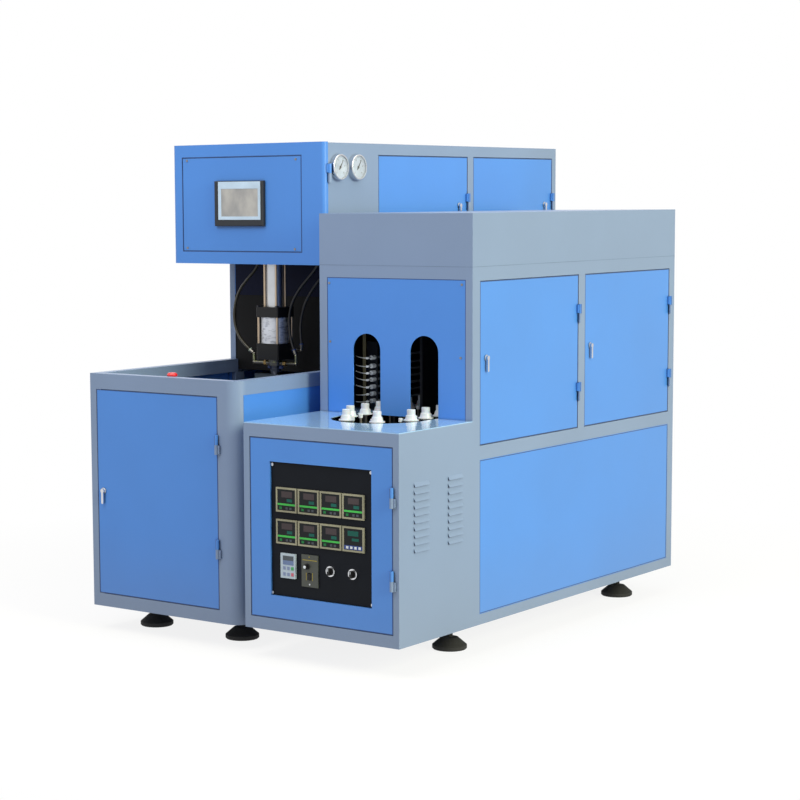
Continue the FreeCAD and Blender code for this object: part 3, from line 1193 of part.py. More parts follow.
def mould_base():
    """Base plug on the piston rod that lifts it, held up against the closed halves."""
    radius = BOTTLE_RADIUS + PLUG_LAND
    height = BASE_PLUG - RUNNING
    profile = [(0, 0), (radius - 3, 0), (radius, 3), (radius, height), (0, height)]
    plug = turned(profile, blow_axis(MOULD_BOTTOM))
    lift_rod = rod(BASE_ROD, blow_axis(MOULD_BOTTOM - BASE_ROD_LENGTH), UP, BASE_ROD_LENGTH + 1)
    return fuse([plug, lift_rod])


def clamp_cylinder():
    """Horizontal cylinder behind the rear plate."""
    y0 = REAR_PLATE_Y + PLATEN_THICK
    centre = Vector(CENTRE_X, y0, CLAMP_Z)
    barrel = rod(CLAMP_BORE + CLAMP_WALL, centre, BACK, CLAMP_LENGTH)
    half = CLAMP_BORE + CLAMP_HEAD_BORDER
    front = block(CENTRE_X - half, CENTRE_X + half, y0, y0 + CLAMP_HEAD, CLAMP_Z - half, CLAMP_Z + half)
    rear = front.copy()
    rear.translate(Vector(0, CLAMP_LENGTH - CLAMP_HEAD, 0))
    whole = fuse([barrel, front, rear])
    whole = whole.cut(rod(CLAMP_ROD + FIT, centre, BACK, CLAMP_HEAD))
    bore_start = centre + Vector(0, CLAMP_HEAD, 0)
    return whole.cut(rod(CLAMP_BORE, bore_start, BACK, CLAMP_LENGTH - 2 * CLAMP_HEAD))


def clamp_rod():
    """Piston rod from the moving platen into the clamp cylinder."""
    y0 = MOULD_REAR + PLATEN_THICK
    piston_y = REAR_PLATE_Y + PLATEN_THICK + CLAMP_HEAD + 3
    shaft = rod(CLAMP_ROD, Vector(CENTRE_X, y0, CLAMP_Z), BACK, piston_y - y0 + 10)
    piston = rod(CLAMP_BORE - RUNNING, Vector(CENTRE_X, piston_y, CLAMP_Z), BACK, CLAMP_PISTON)
    return fuse([shaft, piston])


def base_cylinder():
    """Lift cylinder of the mould base, standing on the floor sheet."""
    floor = FOOT_HEIGHT + FLOOR_SHEET
    top = MOULD_BOTTOM - BASE_STROKE - 16
    body = rod(BASE_BARREL, blow_axis(floor - 1), UP, top - floor + 1)
    return body.cut(rod(BASE_ROD + FIT, blow_axis(floor + BASE_HEEL), UP, top))


# ------------------------------------------------------------------ heater frame
def heater_frame():
    """Heater frame, divided at its weld seams: low control cabinet in front, tall oven behind."""
    x0 = HEATER_LEFT
    side = [(x0, HEATER_FRONT, HEATER_BASE), (x0, HEATER_BACK, HEATER_BASE),
            (x0, HEATER_BACK, HOOD_SEAM), (x0, OVEN_FRONT, HOOD_SEAM),
            (x0, OVEN_FRONT, DESK_HEIGHT), (x0, HEATER_FRONT, DESK_HEIGHT)]
    body = prism(side, Vector(HEATER_WIDTH, 0, 0))
    rail = HEATER_RAIL
    left, right = HEATER_LEFT + rail, HEATER_RIGHT - rail
    floor = HEATER_BASE + SKIN
    back = HEATER_BACK - rail
    gap = DOOR_GAP
    divider = OVEN_FRONT - 12
    hollow = [
        block(left, right, HEATER_FRONT + rail, divider - SKIN, floor, DESK_HEIGHT),
        block(left, right, divider, back, floor, DESK_HEIGHT),
        block(left, right, divider - SKIN, divider, DECK_Z - rail, DESK_HEIGHT),
        block(left, right, OVEN_FRONT + rail, back, DESK_HEIGHT, HOOD_SEAM),
        block(HEATER_RIGHT - rail, HEATER_RIGHT - SHEET, HEATER_FRONT + rail, divider - rail,
              floor + rail, DESK_HEIGHT - rail),
        block(HEATER_LEFT + SHEET, HEATER_LEFT + rail, HEATER_FRONT + rail, divider - rail,
              floor + rail, DESK_HEIGHT - rail),
        block(CONTROL_DOOR_LEFT - gap, CONTROL_DOOR_LEFT + CONTROL_DOOR_WIDTH + gap,
              HEATER_FRONT, HEATER_FRONT + rail, CONTROL_DOOR_BOTTOM - gap,
              CONTROL_DOOR_BOTTOM + CONTROL_DOOR_HEIGHT + gap),
        block(OVEN_PANEL_LEFT, OVEN_PANEL_LEFT + OVEN_PANEL_WIDTH, OVEN_FRONT, OVEN_FRONT + rail,
              DESK_HEIGHT, OVEN_PANEL_TOP),
    ]
    for cutter in hollow:
        body = body.cut(cutter)
    for y0, y1, z0, z1 in heater_bays():
        body = body.cut(block(HEATER_LEFT, HEATER_RIGHT, y0 - gap, y1 + gap, z0 - gap, z1 + gap))
    body = body.cut(block(HEATER_LEFT + BORDER, HEATER_RIGHT - BORDER, back, HEATER_BACK,
                          LOW_PANEL_BOTTOM, OVEN_DOOR_TOP))
    body = body.cut(louvre_slots())
    half = FOOT_RAIL / 2
    rails = [block(left - 1, right + 1, y - half, y + half, floor - 1, floor + FOOT_RAIL_HEIGHT)
             for y in (HEATER_FOOT_Y, HEATER_BACK - FOOT_INSET_Y)]
    rails.append(block(HEATER_LEFT + 1, HEATER_RIGHT - 1, HEATER_FRONT + rail, HEATER_FRONT + 2 * rail,
                       DECK_Z - rail, DECK_Z))
    rails.append(block(left, right, back - rail, back, DECK_Z - rail, DECK_Z))
    whole = fuse([body] + rails + louvre_hoods() + heater_hinge_pins())
    solids = []
    seams = [("Z", z) for z in (LOW_PANEL_BOTTOM - gap, LOW_PANEL_TOP + gap,
                                OVEN_DOOR_BOTTOM - gap, OVEN_DOOR_TOP + gap)]
    for part in divide(whole, [("X", left), ("X", right)]):
        box = part.BoundBox
        if box.XMin > left - SLIVER and box.XMax < right + SLIVER:
            solids += divide(part, [("Z", floor)])
            continue
        for wall in divide(part, [("Y", OVEN_FRONT)]):
            in_oven = wall.BoundBox.YMin > OVEN_FRONT - SLIVER
            solids += divide(wall, seams) if in_oven else [wall]
    return Part.makeCompound(solids)


def heater_bays():
    """Side openings of the oven: the low panel and two doors."""
    low_end = OVEN_DOOR_STARTS[1] + OVEN_DOOR_LENGTHS[1]
    bays = [(OVEN_DOOR_STARTS[0], low_end, LOW_PANEL_BOTTOM, LOW_PANEL_TOP)]
    for start, length in zip(OVEN_DOOR_STARTS, OVEN_DOOR_LENGTHS):
        bays.append((start, start + length, OVEN_DOOR_BOTTOM, OVEN_DOOR_TOP))
    return bays


def louvre_rows():
    """Top edges of the louvres as (y, z)."""
    return [(y, LOUVRE_TOP - row * LOUVRE_PITCH) for y in LOUVRE_COLUMNS for row in range(LOUVRE_COUNT)]


def louvre_slots():
    """Openings under the louvre hoods."""
    slots = []
    for y, z in louvre_rows():
        slots.append(block(HEATER_RIGHT - SHEET, HEATER_RIGHT, y + 3, y + LOUVRE_WIDTH - 3,
                           z - LOUVRE_HEIGHT, z - LOUVRE_HEIGHT + 6))
    return Part.makeCompound(slots)


def louvre_hoods():
    """Pressed hoods: sloping from the wall at the top to an open lower lip."""
    hoods = []
    x = HEATER_RIGHT
    for y, z in louvre_rows():
        low = z - LOUVRE_HEIGHT
        outer = [(x - 1, y, z), (x, y, z), (x + LOUVRE_STAND, y, low + 2), (x + LOUVRE_STAND, y, low),
                 (x + LOUVRE_STAND - 1.5, y, low), (x + LOUVRE_STAND - 2.5, y, low + 3),
                 (x - 1, y, z - 3.5)]
        hoods.append(prism(outer, Vector(0, LOUVRE_WIDTH, 0)))
    return hoods


def heater_hinge_pins():
    """Frame halves of the heater's hinges."""
    pins = []
    door_right = CONTROL_DOOR_LEFT + CONTROL_DOOR_WIDTH + DOOR_GAP / 2
    for z in CONTROL_DOOR_HINGES:
        pins.append(facing_front(hinge_pin(0, z), door_right, HEATER_FRONT, 0))
    for start, length in zip(OVEN_DOOR_STARTS, OVEN_DOOR_LENGTHS):
        for z in OVEN_DOOR_HINGES:
            pins.append(facing_right(hinge_pin(0, z), HEATER_RIGHT, start + length + DOOR_GAP / 2, 0))
    return pins


def oven_hood():
    """Grey hood over the oven, folded from sheet and open below."""
    top = block(HEATER_LEFT, HEATER_RIGHT, OVEN_FRONT, HEATER_BACK, HOOD_SEAM, HOOD_TOP)
    inner = block(HEATER_LEFT + SHEET, HEATER_RIGHT - SHEET, OVEN_FRONT + SHEET,
                  HEATER_BACK - SHEET, HOOD_SEAM, HOOD_TOP - SHEET)
    return top.cut(inner)


def stadium(radius, z0, z1):
    """Upright prism over a stadium outline round the chain loop."""
    left, right = LOOP_X - radius, LOOP_X + radius
    front = Part.Arc(Vector(right, LOOP_FRONT_Y, z0), Vector(LOOP_X, LOOP_FRONT_Y - radius, z0),
                     Vector(left, LOOP_FRONT_Y, z0))
    rear = Part.Arc(Vector(left, LOOP_REAR_Y, z0), Vector(LOOP_X, LOOP_REAR_Y + radius, z0),
                    Vector(right, LOOP_REAR_Y, z0))
    left_run = Part.LineSegment(Vector(left, LOOP_FRONT_Y, z0), Vector(left, LOOP_REAR_Y, z0))
    right_run = Part.LineSegment(Vector(right, LOOP_REAR_Y, z0), Vector(right, LOOP_FRONT_Y, z0))
    wire = Part.Wire([front.toShape(), left_run.toShape(), rear.toShape(), right_run.toShape()])
    return Part.Face(wire).extrude(Vector(0, 0, z1 - z0))


def top_plate():
    """Blue desk plate on the control cabinet, running back into the oven round the chain."""
    z0, z1 = DESK_HEIGHT, DESK_TOP
    desk = block(HEATER_LEFT, HEATER_RIGHT, HEATER_FRONT, OVEN_FRONT, z0, z1)
    rail = HEATER_RAIL
    inside = block(OVEN_PANEL_LEFT, OVEN_PANEL_LEFT + OVEN_PANEL_WIDTH, OVEN_FRONT,
                   OVEN_FRONT + rail, z0, z1)
    oven = block(HEATER_LEFT + rail, HEATER_RIGHT - rail, OVEN_FRONT + rail, HEATER_BACK - rail, z0, z1)
    hole = stadium(SLOT_RADIUS, z0, z1)
    return fuse([desk, inside, oven]).cut(hole)


def oven_front_panel():
    """Blue sheet across the oven's mouth with an arch over each run of the chain."""
    z0 = DESK_TOP
    panel = block(OVEN_PANEL_LEFT, OVEN_PANEL_LEFT + OVEN_PANEL_WIDTH, OVEN_FRONT + FACE_RECESS,
                  OVEN_FRONT + FACE_RECESS + SKIN, z0, OVEN_PANEL_TOP)
    for side in (-1, 1):
        x = LOOP_X + side * ARCH_OFFSET
        opening = block(x - ARCH_RADIUS, x + ARCH_RADIUS, OVEN_FRONT, OVEN_FRONT + 20, z0, ARCH_SPRING)
        arch = rod(ARCH_RADIUS, Vector(x, OVEN_FRONT, ARCH_SPRING), BACK, 20)
        panel = panel.cut(opening).cut(arch)
    return panel


def heater_panels():
    """Fixed panels: low right side, the whole left side, and the back."""
    gap = DOOR_GAP
    panels = []
    for index, (y0, y1, z0, z1) in enumerate(heater_bays()):
        panel = flat_panel(y1 - y0 + 2 * gap, z1 - z0 + 2 * gap)
        if index == 0:
            panels.append(facing_right(panel, HEATER_RIGHT - FACE_RECESS, y0 - gap, z0 - gap))
        mirrored = panel.copy()
        mirrored.rotate(Vector(0, 0, 0), UP, -90)
        mirrored.translate(Vector(HEATER_LEFT + FACE_RECESS, y1 + gap, z0 - gap))
        panels.append(mirrored)
    back = flat_panel(HEATER_WIDTH - 2 * BORDER, OVEN_DOOR_TOP - LOW_PANEL_BOTTOM)
    back.rotate(Vector(0, 0, 0), UP, 180)
    back.translate(Vector(HEATER_RIGHT - BORDER, HEATER_BACK - FACE_RECESS, LOW_PANEL_BOTTOM))
    panels.append(back)
    return Part.makeCompound(panels)


def oven_door(index):
    """One side door of the oven."""
    start, length = OVEN_DOOR_STARTS[index], OVEN_DOOR_LENGTHS[index]
    height = OVEN_DOOR_TOP - OVEN_DOOR_BOTTOM
    hole = latch_hole(OVEN_LATCH_INSET, OVEN_LATCH_Z - OVEN_DOOR_BOTTOM)
    shell = door_shell(length, height, [hole])
    door = facing_right(shell, HEATER_RIGHT - FACE_RECESS, start, OVEN_DOOR_BOTTOM)
    return with_sleeves(door, "right", HEATER_RIGHT, start + length + DOOR_GAP / 2, OVEN_DOOR_HINGES)


# ------------------------------------------------------------------ control door and controls
def control_door():
    """Front door of the heater with a recess that holds the control panel."""
    shell = door_shell(CONTROL_DOOR_WIDTH, CONTROL_DOOR_HEIGHT)
    door = facing_front(shell, CONTROL_DOOR_LEFT, HEATER_FRONT + FACE_RECESS, CONTROL_DOOR_BOTTOM)
    face = HEATER_FRONT + FACE_RECESS
    x0, x1 = PANEL_LEFT, PANEL_LEFT + PANEL_WIDTH
    z0, z1 = PANEL_BOTTOM, PANEL_BOTTOM + PANEL_HEIGHT
    seat = face + PANEL_RECESS + PANEL_PLATE
    door = door.cut(block(x0, x1, face, face + SHEET, z0, z1))
    frame = block(x0 - SHEET, x1 + SHEET, face, seat + SHEET, z0 - SHEET, z1 + SHEET)
    frame = frame.cut(block(x0, x1, face, seat, z0, z1))
    frame = frame.cut(block(x0 + LIP, x1 - LIP, face, seat + SHEET, z0 + LIP, z1 - LIP))
    door = fuse([door, frame])
    return with_sleeves(door, "front", CONTROL_DOOR_LEFT + CONTROL_DOOR_WIDTH + DOOR_GAP / 2,
                        HEATER_FRONT, CONTROL_DOOR_HINGES)


def panel_face():
    """Y of the control panel's front face."""
    return HEATER_FRONT + FACE_RECESS + PANEL_RECESS


def control_panel():
    """Black panel plate with cut-outs for its instruments."""
    y0 = panel_face()
    y1 = y0 + PANEL_PLATE
    plate = block(PANEL_LEFT, PANEL_LEFT + PANEL_WIDTH, y0, y1, PANEL_BOTTOM, PANEL_BOTTOM + PANEL_HEIGHT)
    plate = plate.cut(Part.makeCompound([controller_body(x, z) for x, z in controller_places()]))
    shaft_hole = rod(KNOB_SHAFT + RUNNING, Vector(KNOB_X, y0, KNOB_Z), BACK, PANEL_PLATE)
    half_w, half_h = ROCKER_WIDTH / 2 + 1, ROCKER_HEIGHT / 2 + 1
    rocker_hole = block(ROCKER_X - half_w, ROCKER_X + half_w, y0, y1, ROCKER_Z - half_h, ROCKER_Z + half_h)
    selector_holes = [rod(SELECTOR_HOLE + RUNNING, Vector(x, y0, SELECTOR_Z), BACK, PANEL_PLATE)
                      for x in SELECTOR_PLACES]
    return plate.cut([shaft_hole, rocker_hole] + selector_holes)


def controller_places():
    """Centres of the eight temperature controllers."""
    return [(x, z) for z in CONTROLLER_ROWS for x in CONTROLLER_COLUMNS]


def controller_body(x, z):
    """Rear case of a controller, through the panel."""
    half_w, half_h = CONTROLLER_WIDTH / 2 - CASE_STEP, CONTROLLER_HEIGHT / 2 - CASE_STEP
    y0 = panel_face()
    return block(x - half_w, x + half_w, y0, y0 + CONTROLLER_BODY, z - half_h, z + half_h)


def temperature_controllers():
    """Eight plug-in controllers: raised bezel, sunk display face, case behind."""
    units = []
    y0 = panel_face()
    for x, z in controller_places():
        half_w, half_h = CONTROLLER_WIDTH / 2, CONTROLLER_HEIGHT / 2
        bezel = block(x - half_w, x + half_w, y0 - CONTROLLER_STAND, y0, z - half_h, z + half_h)
        rim, front = CONTROLLER_RIM, y0 - CONTROLLER_STAND
        face = block(x - half_w + rim, x + half_w - rim, front, front + CONTROLLER_SUNK,
                     z - half_h + rim, z + half_h - rim)
        units.append(fuse([bezel.cut(face), controller_body(x, z)]))
    return Part.makeCompound(units)


def drive_controls():
    """Keypad, speed controller plate and the two selector bezels, all fixed on the panel."""
    y0 = panel_face()
    keypad = block(KEYPAD_X - KEYPAD_WIDTH / 2, KEYPAD_X + KEYPAD_WIDTH / 2, y0 - KEYPAD_STAND, y0,
                   KEYPAD_Z - KEYPAD_HEIGHT / 2, KEYPAD_Z + KEYPAD_HEIGHT / 2)
    plate = block(SPEED_X - SPEED_WIDTH / 2, SPEED_X + SPEED_WIDTH / 2, y0 - SPEED_STAND, y0,
                  SPEED_Z - SPEED_HEIGHT / 2, SPEED_Z + SPEED_HEIGHT / 2)
    knob_centre = Vector(KNOB_X, y0 - SPEED_STAND, KNOB_Z)
    plate = plate.cut(rod(KNOB_SHAFT + RUNNING, knob_centre, BACK, SPEED_STAND))
    half_w, half_h = ROCKER_WIDTH / 2 + 1, ROCKER_HEIGHT / 2 + 1
    plate = plate.cut(block(ROCKER_X - half_w, ROCKER_X + half_w, y0 - SPEED_STAND, y0,
                            ROCKER_Z - half_h, ROCKER_Z + half_h))
    rings = []
    for x in SELECTOR_PLACES:
        ring = tube(SELECTOR_RADIUS, SELECTOR_RING_BORE, Vector(x, y0 - 8, SELECTOR_Z), BACK, 8)
        rings.append(ring)
    return Part.makeCompound([keypad, plate] + rings)


def speed_knob():
    """Pointer knob of the speed controller with its shaft."""
    y0 = panel_face() - SPEED_STAND - RUNNING
    skirt = rod(KNOB_RADIUS, Vector(KNOB_X, y0 - 5, KNOB_Z), BACK, 5)
    grip = rod(KNOB_RADIUS * 0.62, Vector(KNOB_X, y0 - 16, KNOB_Z), BACK, 12)
    shaft = rod(KNOB_SHAFT, Vector(KNOB_X, y0 - 1, KNOB_Z), BACK, 1 + SPEED_STAND + PANEL_PLATE + 12)
    return fuse([skirt, grip, shaft])


def rocker_axis():
    """Pivot line of the rocker switch, along X."""
    return Vector(ROCKER_X, panel_face() - SPEED_STAND + 3, ROCKER_Z)


def rocker_switch():
    """Rocker with a shallow vee face, on the round barrel that it tilts about."""
    axis = rocker_axis()
    half_w, half_h = ROCKER_WIDTH / 2 + 1 - RUNNING, ROCKER_HEIGHT / 2
    x0 = ROCKER_X - half_w
    y = axis.y
    points = [(x0, y - 7, ROCKER_Z - half_h + 1), (x0, y - 5, ROCKER_Z), (x0, y - 7, ROCKER_Z + half_h - 1),
              (x0, y + 1, ROCKER_Z + half_h - 1), (x0, y + 4, ROCKER_Z), (x0, y + 1, ROCKER_Z - half_h + 1)]
    barrel = rod(ROCKER_BARREL, Vector(x0, axis.y, axis.z), RIGHT, 2 * half_w)
    return fuse([prism(points, Vector(2 * half_w, 0, 0)), barrel])


def selector_knob(x):
    """Selector: round base in its ring, raised finger grip and stem through the panel."""
    y0 = panel_face()
    base = rod(SELECTOR_RING_BORE - RUNNING, Vector(x, y0 - 10, SELECTOR_Z), BACK, 10 - RUNNING)
    grip = block(x - 4.5, x + 4.5, y0 - 22, y0 - 9, SELECTOR_Z - 13, SELECTOR_Z + 13)
    stem = rod(SELECTOR_HOLE, Vector(x, y0 - 2, SELECTOR_Z), BACK, 30)
    return fuse([base, grip, stem])


# ------------------------------------------------------------------ mandrel chain
def chain_place(distance, reach):
    """Point outside the chain line by the given reach, with its heading in degrees.

    Distances run round the loop from the front end of the right-hand run.
    """
    half_turn = math.pi * LOOP_RADIUS
    s = distance % (2 * (RUN_LENGTH + half_turn))
    radius = LOOP_RADIUS + reach
    if s < half_turn:
        a = s / LOOP_RADIUS
        return (LOOP_X + radius * math.cos(a), LOOP_FRONT_Y - radius * math.sin(a), -math.degrees(a))
    s -= half_turn
    if s < RUN_LENGTH:
        return (LOOP_X - radius, LOOP_FRONT_Y + s, 180.0)
    s -= RUN_LENGTH
    if s < half_turn:
        a = s / LOOP_RADIUS
        return (LOOP_X - radius * math.cos(a), LOOP_REAR_Y + radius * math.sin(a), 180 - math.degrees(a))
    return (LOOP_X + radius, LOOP_REAR_Y - (s - half_turn), 0.0)


def stations():
    """Mandrel places round the loop, each with the direction that its carrier points."""
    return [chain_place(k * MANDREL_PITCH, MANDREL_REACH) for k in range(MANDREL_COUNT)]


def mandrel_chain():
    """Endless chain of links, each with a carrier arm and the upright spindle of a mandrel."""
    z0, z1 = CHAIN_Z, CHAIN_Z + CHAIN_HEIGHT
    strand = stadium(LOOP_RADIUS + CHAIN_HALF, z0, z1).cut(stadium(LOOP_RADIUS - CHAIN_HALF, z0, z1))
    arm_z = (z0 + z1 - CARRIER_THICK) / 2
    top = DESK_TOP + HEAD_LIFT + HEAD_SOCKET
    arm = block(-MANDREL_REACH - CHAIN_HALF / 2, 0, -CARRIER_HALF, CARRIER_HALF, arm_z,
                arm_z + CARRIER_THICK)
    end = rod(CARRIER_HALF, Vector(0, 0, arm_z), UP, CARRIER_THICK)
    spindle = rod(SPINDLE_RADIUS, Vector(0, 0, arm_z), UP, top - arm_z)
    lug = rod(ROLLER_RADIUS, Vector(-ROLLER_BACK, -ROLLER_SIDE, arm_z), UP, CARRIER_THICK)
    web = block(-ROLLER_BACK - ROLLER_RADIUS, -ROLLER_BACK + ROLLER_RADIUS, -ROLLER_SIDE, 0, arm_z,
                arm_z + CARRIER_THICK)
    carrier = fuse([arm, end, spindle, lug, web])
    carriers = []
    for x, y, heading in stations():
        placed = carrier.copy()
        placed.rotate(Vector(0, 0, 0), UP, heading)
        placed.translate(Vector(x, y, 0))
        carriers.append(placed)
    return Part.makeCompound([fuse([strand.common(link_space(k)), carrier])
                              for k, carrier in enumerate(carriers)])


def link_space(k):
    """Upright wedge or block that holds one mandrel pitch of the chain."""
    corners = []
    for distance in ((k - 0.5) * MANDREL_PITCH, (k + 0.5) * MANDREL_PITCH):
        far = chain_place(distance, 2 * CARRIER_HALF)
        wheel_y = min(max(far[1], LOOP_FRONT_Y), LOOP_REAR_Y)
        corners.append([Vector(LOOP_X, wheel_y, CHAIN_Z), Vector(far[0], far[1], CHAIN_Z)])
    (inner0, outer0), (inner1, outer1) = corners
    points = [inner0, outer0, outer1, inner1]
    if (inner1 - inner0).Length < 0.001:
        points = points[:3]
    return prism(points, Vector(0, 0, CHAIN_HEIGHT))


def mandrel_heads():
    """White plastic heads that hold the preforms' necks, with the small guide rollers."""
    base = DESK_TOP + HEAD_LIFT
    profile = [(0, HEAD_SOCKET), (SPINDLE_RADIUS, HEAD_SOCKET), (SPINDLE_RADIUS, 0), (HEAD_FLANGE, 0),
               (HEAD_FLANGE, 6), (HEAD_SHOULDER, 23), (HEAD_PLUG, 25), (HEAD_PLUG, HEAD_HEIGHT),
               (0, HEAD_HEIGHT)]
    head = turned(profile, Vector(0, 0, base))
    low = CHAIN_Z + (CHAIN_HEIGHT + CARRIER_THICK) / 2
    top = DESK_TOP + ROLLER_TOP
    stud = [(0, low), (5, low), (5, top - ROLLER_HEIGHT), (ROLLER_RADIUS, top - ROLLER_HEIGHT),
            (ROLLER_RADIUS, top), (0, top)]
    roller = turned(stud, Vector(-ROLLER_BACK, -ROLLER_SIDE, 0))
    pair = Part.makeCompound([head, roller])
    placed = []
    for x, y, heading in stations():
        one = pair.copy()
        one.rotate(Vector(0, 0, 0), UP, heading)
        one.translate(Vector(x, y, 0))
        placed.append(one)
    return Part.makeCompound(placed)


def chain_deck():
    """Plate under the chain with the posts of both wheels and the rails the carriers slide on."""
    rail = HEATER_RAIL
    deck = block(HEATER_LEFT + rail, HEATER_RIGHT - rail, HEATER_FRONT + rail + 4, HEATER_BACK - rail - 4,
                 DECK_Z, DECK_Z + DECK_THICK)
    top = DECK_Z + DECK_THICK
    wheel_z = CHAIN_Z
    parts = [deck]
    for y in (LOOP_FRONT_Y, LOOP_REAR_Y):
        parts.append(rod(WHEEL_SHAFT + WHEEL_SEAT, Vector(LOOP_X, y, top - 1), UP,
                         wheel_z - RUNNING - top + 1))
        parts.append(rod(WHEEL_SHAFT, Vector(LOOP_X, y, top - 1), UP, wheel_z + SHAFT_RISE - top + 1))
    low = CHAIN_Z + (CHAIN_HEIGHT - CARRIER_THICK) / 2
    for side in (-1, 1):
        x = LOOP_X + side * (LOOP_RADIUS + MANDREL_REACH)
        parts.append(block(x - SLIDE_RAIL, x + SLIDE_RAIL, LOOP_FRONT_Y, LOOP_REAR_Y, top - 1, low))
    return fuse(parts)


def chain_wheel(y):
    """Wheel that guides and turns the chain, on the deck's shaft."""
    z0 = CHAIN_Z
    rim = LOOP_RADIUS - CHAIN_HALF - 0.5
    wheel = rod(rim, Vector(LOOP_X, y, z0), UP, WHEEL_THICK)
    holes = []
    for k in range(WHEEL_HOLES):
        a = 2 * math.pi * (k + 0.5) / WHEEL_HOLES
        circle = WHEEL_HOLE_CIRCLE
        place = Vector(LOOP_X + circle * math.cos(a), y + circle * math.sin(a), z0)
        holes.append(rod(WHEEL_HOLE, place, UP, WHEEL_THICK))
    hub = rod(WHEEL_HUB, Vector(LOOP_X, y, z0), UP, WHEEL_HUB_HEIGHT)
    wheel = fuse([wheel.cut(holes), hub])
    return wheel.cut(rod(WHEEL_SHAFT + FIT, Vector(LOOP_X, y, z0), UP, WHEEL_HUB_HEIGHT))


def drive_motor():
    """Gear motor that hangs under the deck below the rear wheel."""
    width, length, height = GEARBOX_SIZE
    gearbox = block(LOOP_X - width / 2, LOOP_X + width / 2, LOOP_REAR_Y - length / 2,
                    LOOP_REAR_Y + length / 2, DECK_Z - height, DECK_Z)
    flange_z = DECK_Z - height - MOTOR_FLANGE_THICK
    flange = rod(MOTOR_FLANGE, Vector(LOOP_X, LOOP_REAR_Y, flange_z), UP, MOTOR_FLANGE_THICK + 0.5)
    motor_z = flange_z - MOTOR_LENGTH
    motor = rod(MOTOR_RADIUS, Vector(LOOP_X, LOOP_REAR_Y, motor_z), UP, MOTOR_LENGTH + 2)
    cover_z = motor_z - FAN_COVER_LENGTH + FAN_COVER_OVERLAP
    fan_cover = rod(FAN_COVER_RADIUS, Vector(LOOP_X, LOOP_REAR_Y, cover_z), UP, FAN_COVER_LENGTH)
    return fuse([gearbox, flange, motor, fan_cover])


# ------------------------------------------------------------------ lamps
def lamp_axes():
    """Lamp lines as (x, z) on both outer sides of the chain."""
    return [(LOOP_X + side * LAMP_OFFSET, z) for side in (-1, 1) for z in LAMP_LEVELS]


def oven_lamps():
    """Straight quartz lamps with a ceramic cap at each end."""
    lamps = []
    for x, z in lamp_axes():
        glass = rod(LAMP_RADIUS, Vector(x, LAMP_START + SOCKET_LENGTH, z), BACK,
                    LAMP_LENGTH - 2 * SOCKET_LENGTH)
        near = rod(SOCKET_RADIUS, Vector(x, LAMP_START, z), BACK, SOCKET_LENGTH)
        far_y = LAMP_START + LAMP_LENGTH - SOCKET_LENGTH
        far = rod(SOCKET_RADIUS, Vector(x, far_y, z), BACK, SOCKET_LENGTH)
        lamps.append(fuse([glass, near, far]))
    return Part.makeCompound(lamps)


def oven_reflectors():
    """Lamp frames with their reflector sheets outside the chain, and the sheet between its runs."""
    parts = []
    top = max(LAMP_LEVELS) + REFLECTOR_TOP
    y0 = LAMP_START + LAMP_OVERHANG
    y1 = LAMP_START + LAMP_LENGTH - LAMP_OVERHANG
    for side in (-1, 1):
        lamp_x = LOOP_X + side * LAMP_OFFSET
        back_x = lamp_x + side * REFLECTOR_BACK
        near_x = lamp_x - side * REFLECTOR_LIP
        sheet = block(min(back_x, back_x + side * SKIN), max(back_x, back_x + side * SKIN),
                      y0, y1, DESK_TOP, top)
        ends = [block(min(near_x, back_x), max(near_x, back_x), y, y + SKIN, DESK_TOP, top)
                for y in (y0, y1 - SKIN)]
        bank = fuse([sheet] + ends)
        holes = [rod(SOCKET_RADIUS + FIT, Vector(lamp_x, y0 - 1, z), BACK, y1 - y0 + 2)
                 for z in LAMP_LEVELS]
        parts.append(bank.cut(holes))
    return Part.makeCompound(parts + [centre_reflector()])


def centre_reflector():
    """Upright sheet with a folded front edge between the chain's runs, on two posts on the deck."""
    half = CENTRE_SHEET / 2
    y0, y1 = OVEN_FRONT + CENTRE_SETBACK, LOOP_REAR_Y - CENTRE_REAR_GAP
    low, top = CHAIN_Z + SHAFT_RISE, max(LAMP_LEVELS) + CENTRE_TOP
    parts = [block(LOOP_X - half, LOOP_X + half, y0, y1, low, top),
             block(LOOP_X - CENTRE_FLANGE / 2, LOOP_X + CENTRE_FLANGE / 2, y0, y0 + CENTRE_SHEET, low, top)]
    for setback in CENTRE_POSTS:
        y = y0 + setback
        parts.append(block(LOOP_X - CENTRE_POST / 2, LOOP_X + CENTRE_POST / 2, y, y + CENTRE_POST,
                           DECK_Z + DECK_THICK, low + CENTRE_POST))
    return fuse(parts)


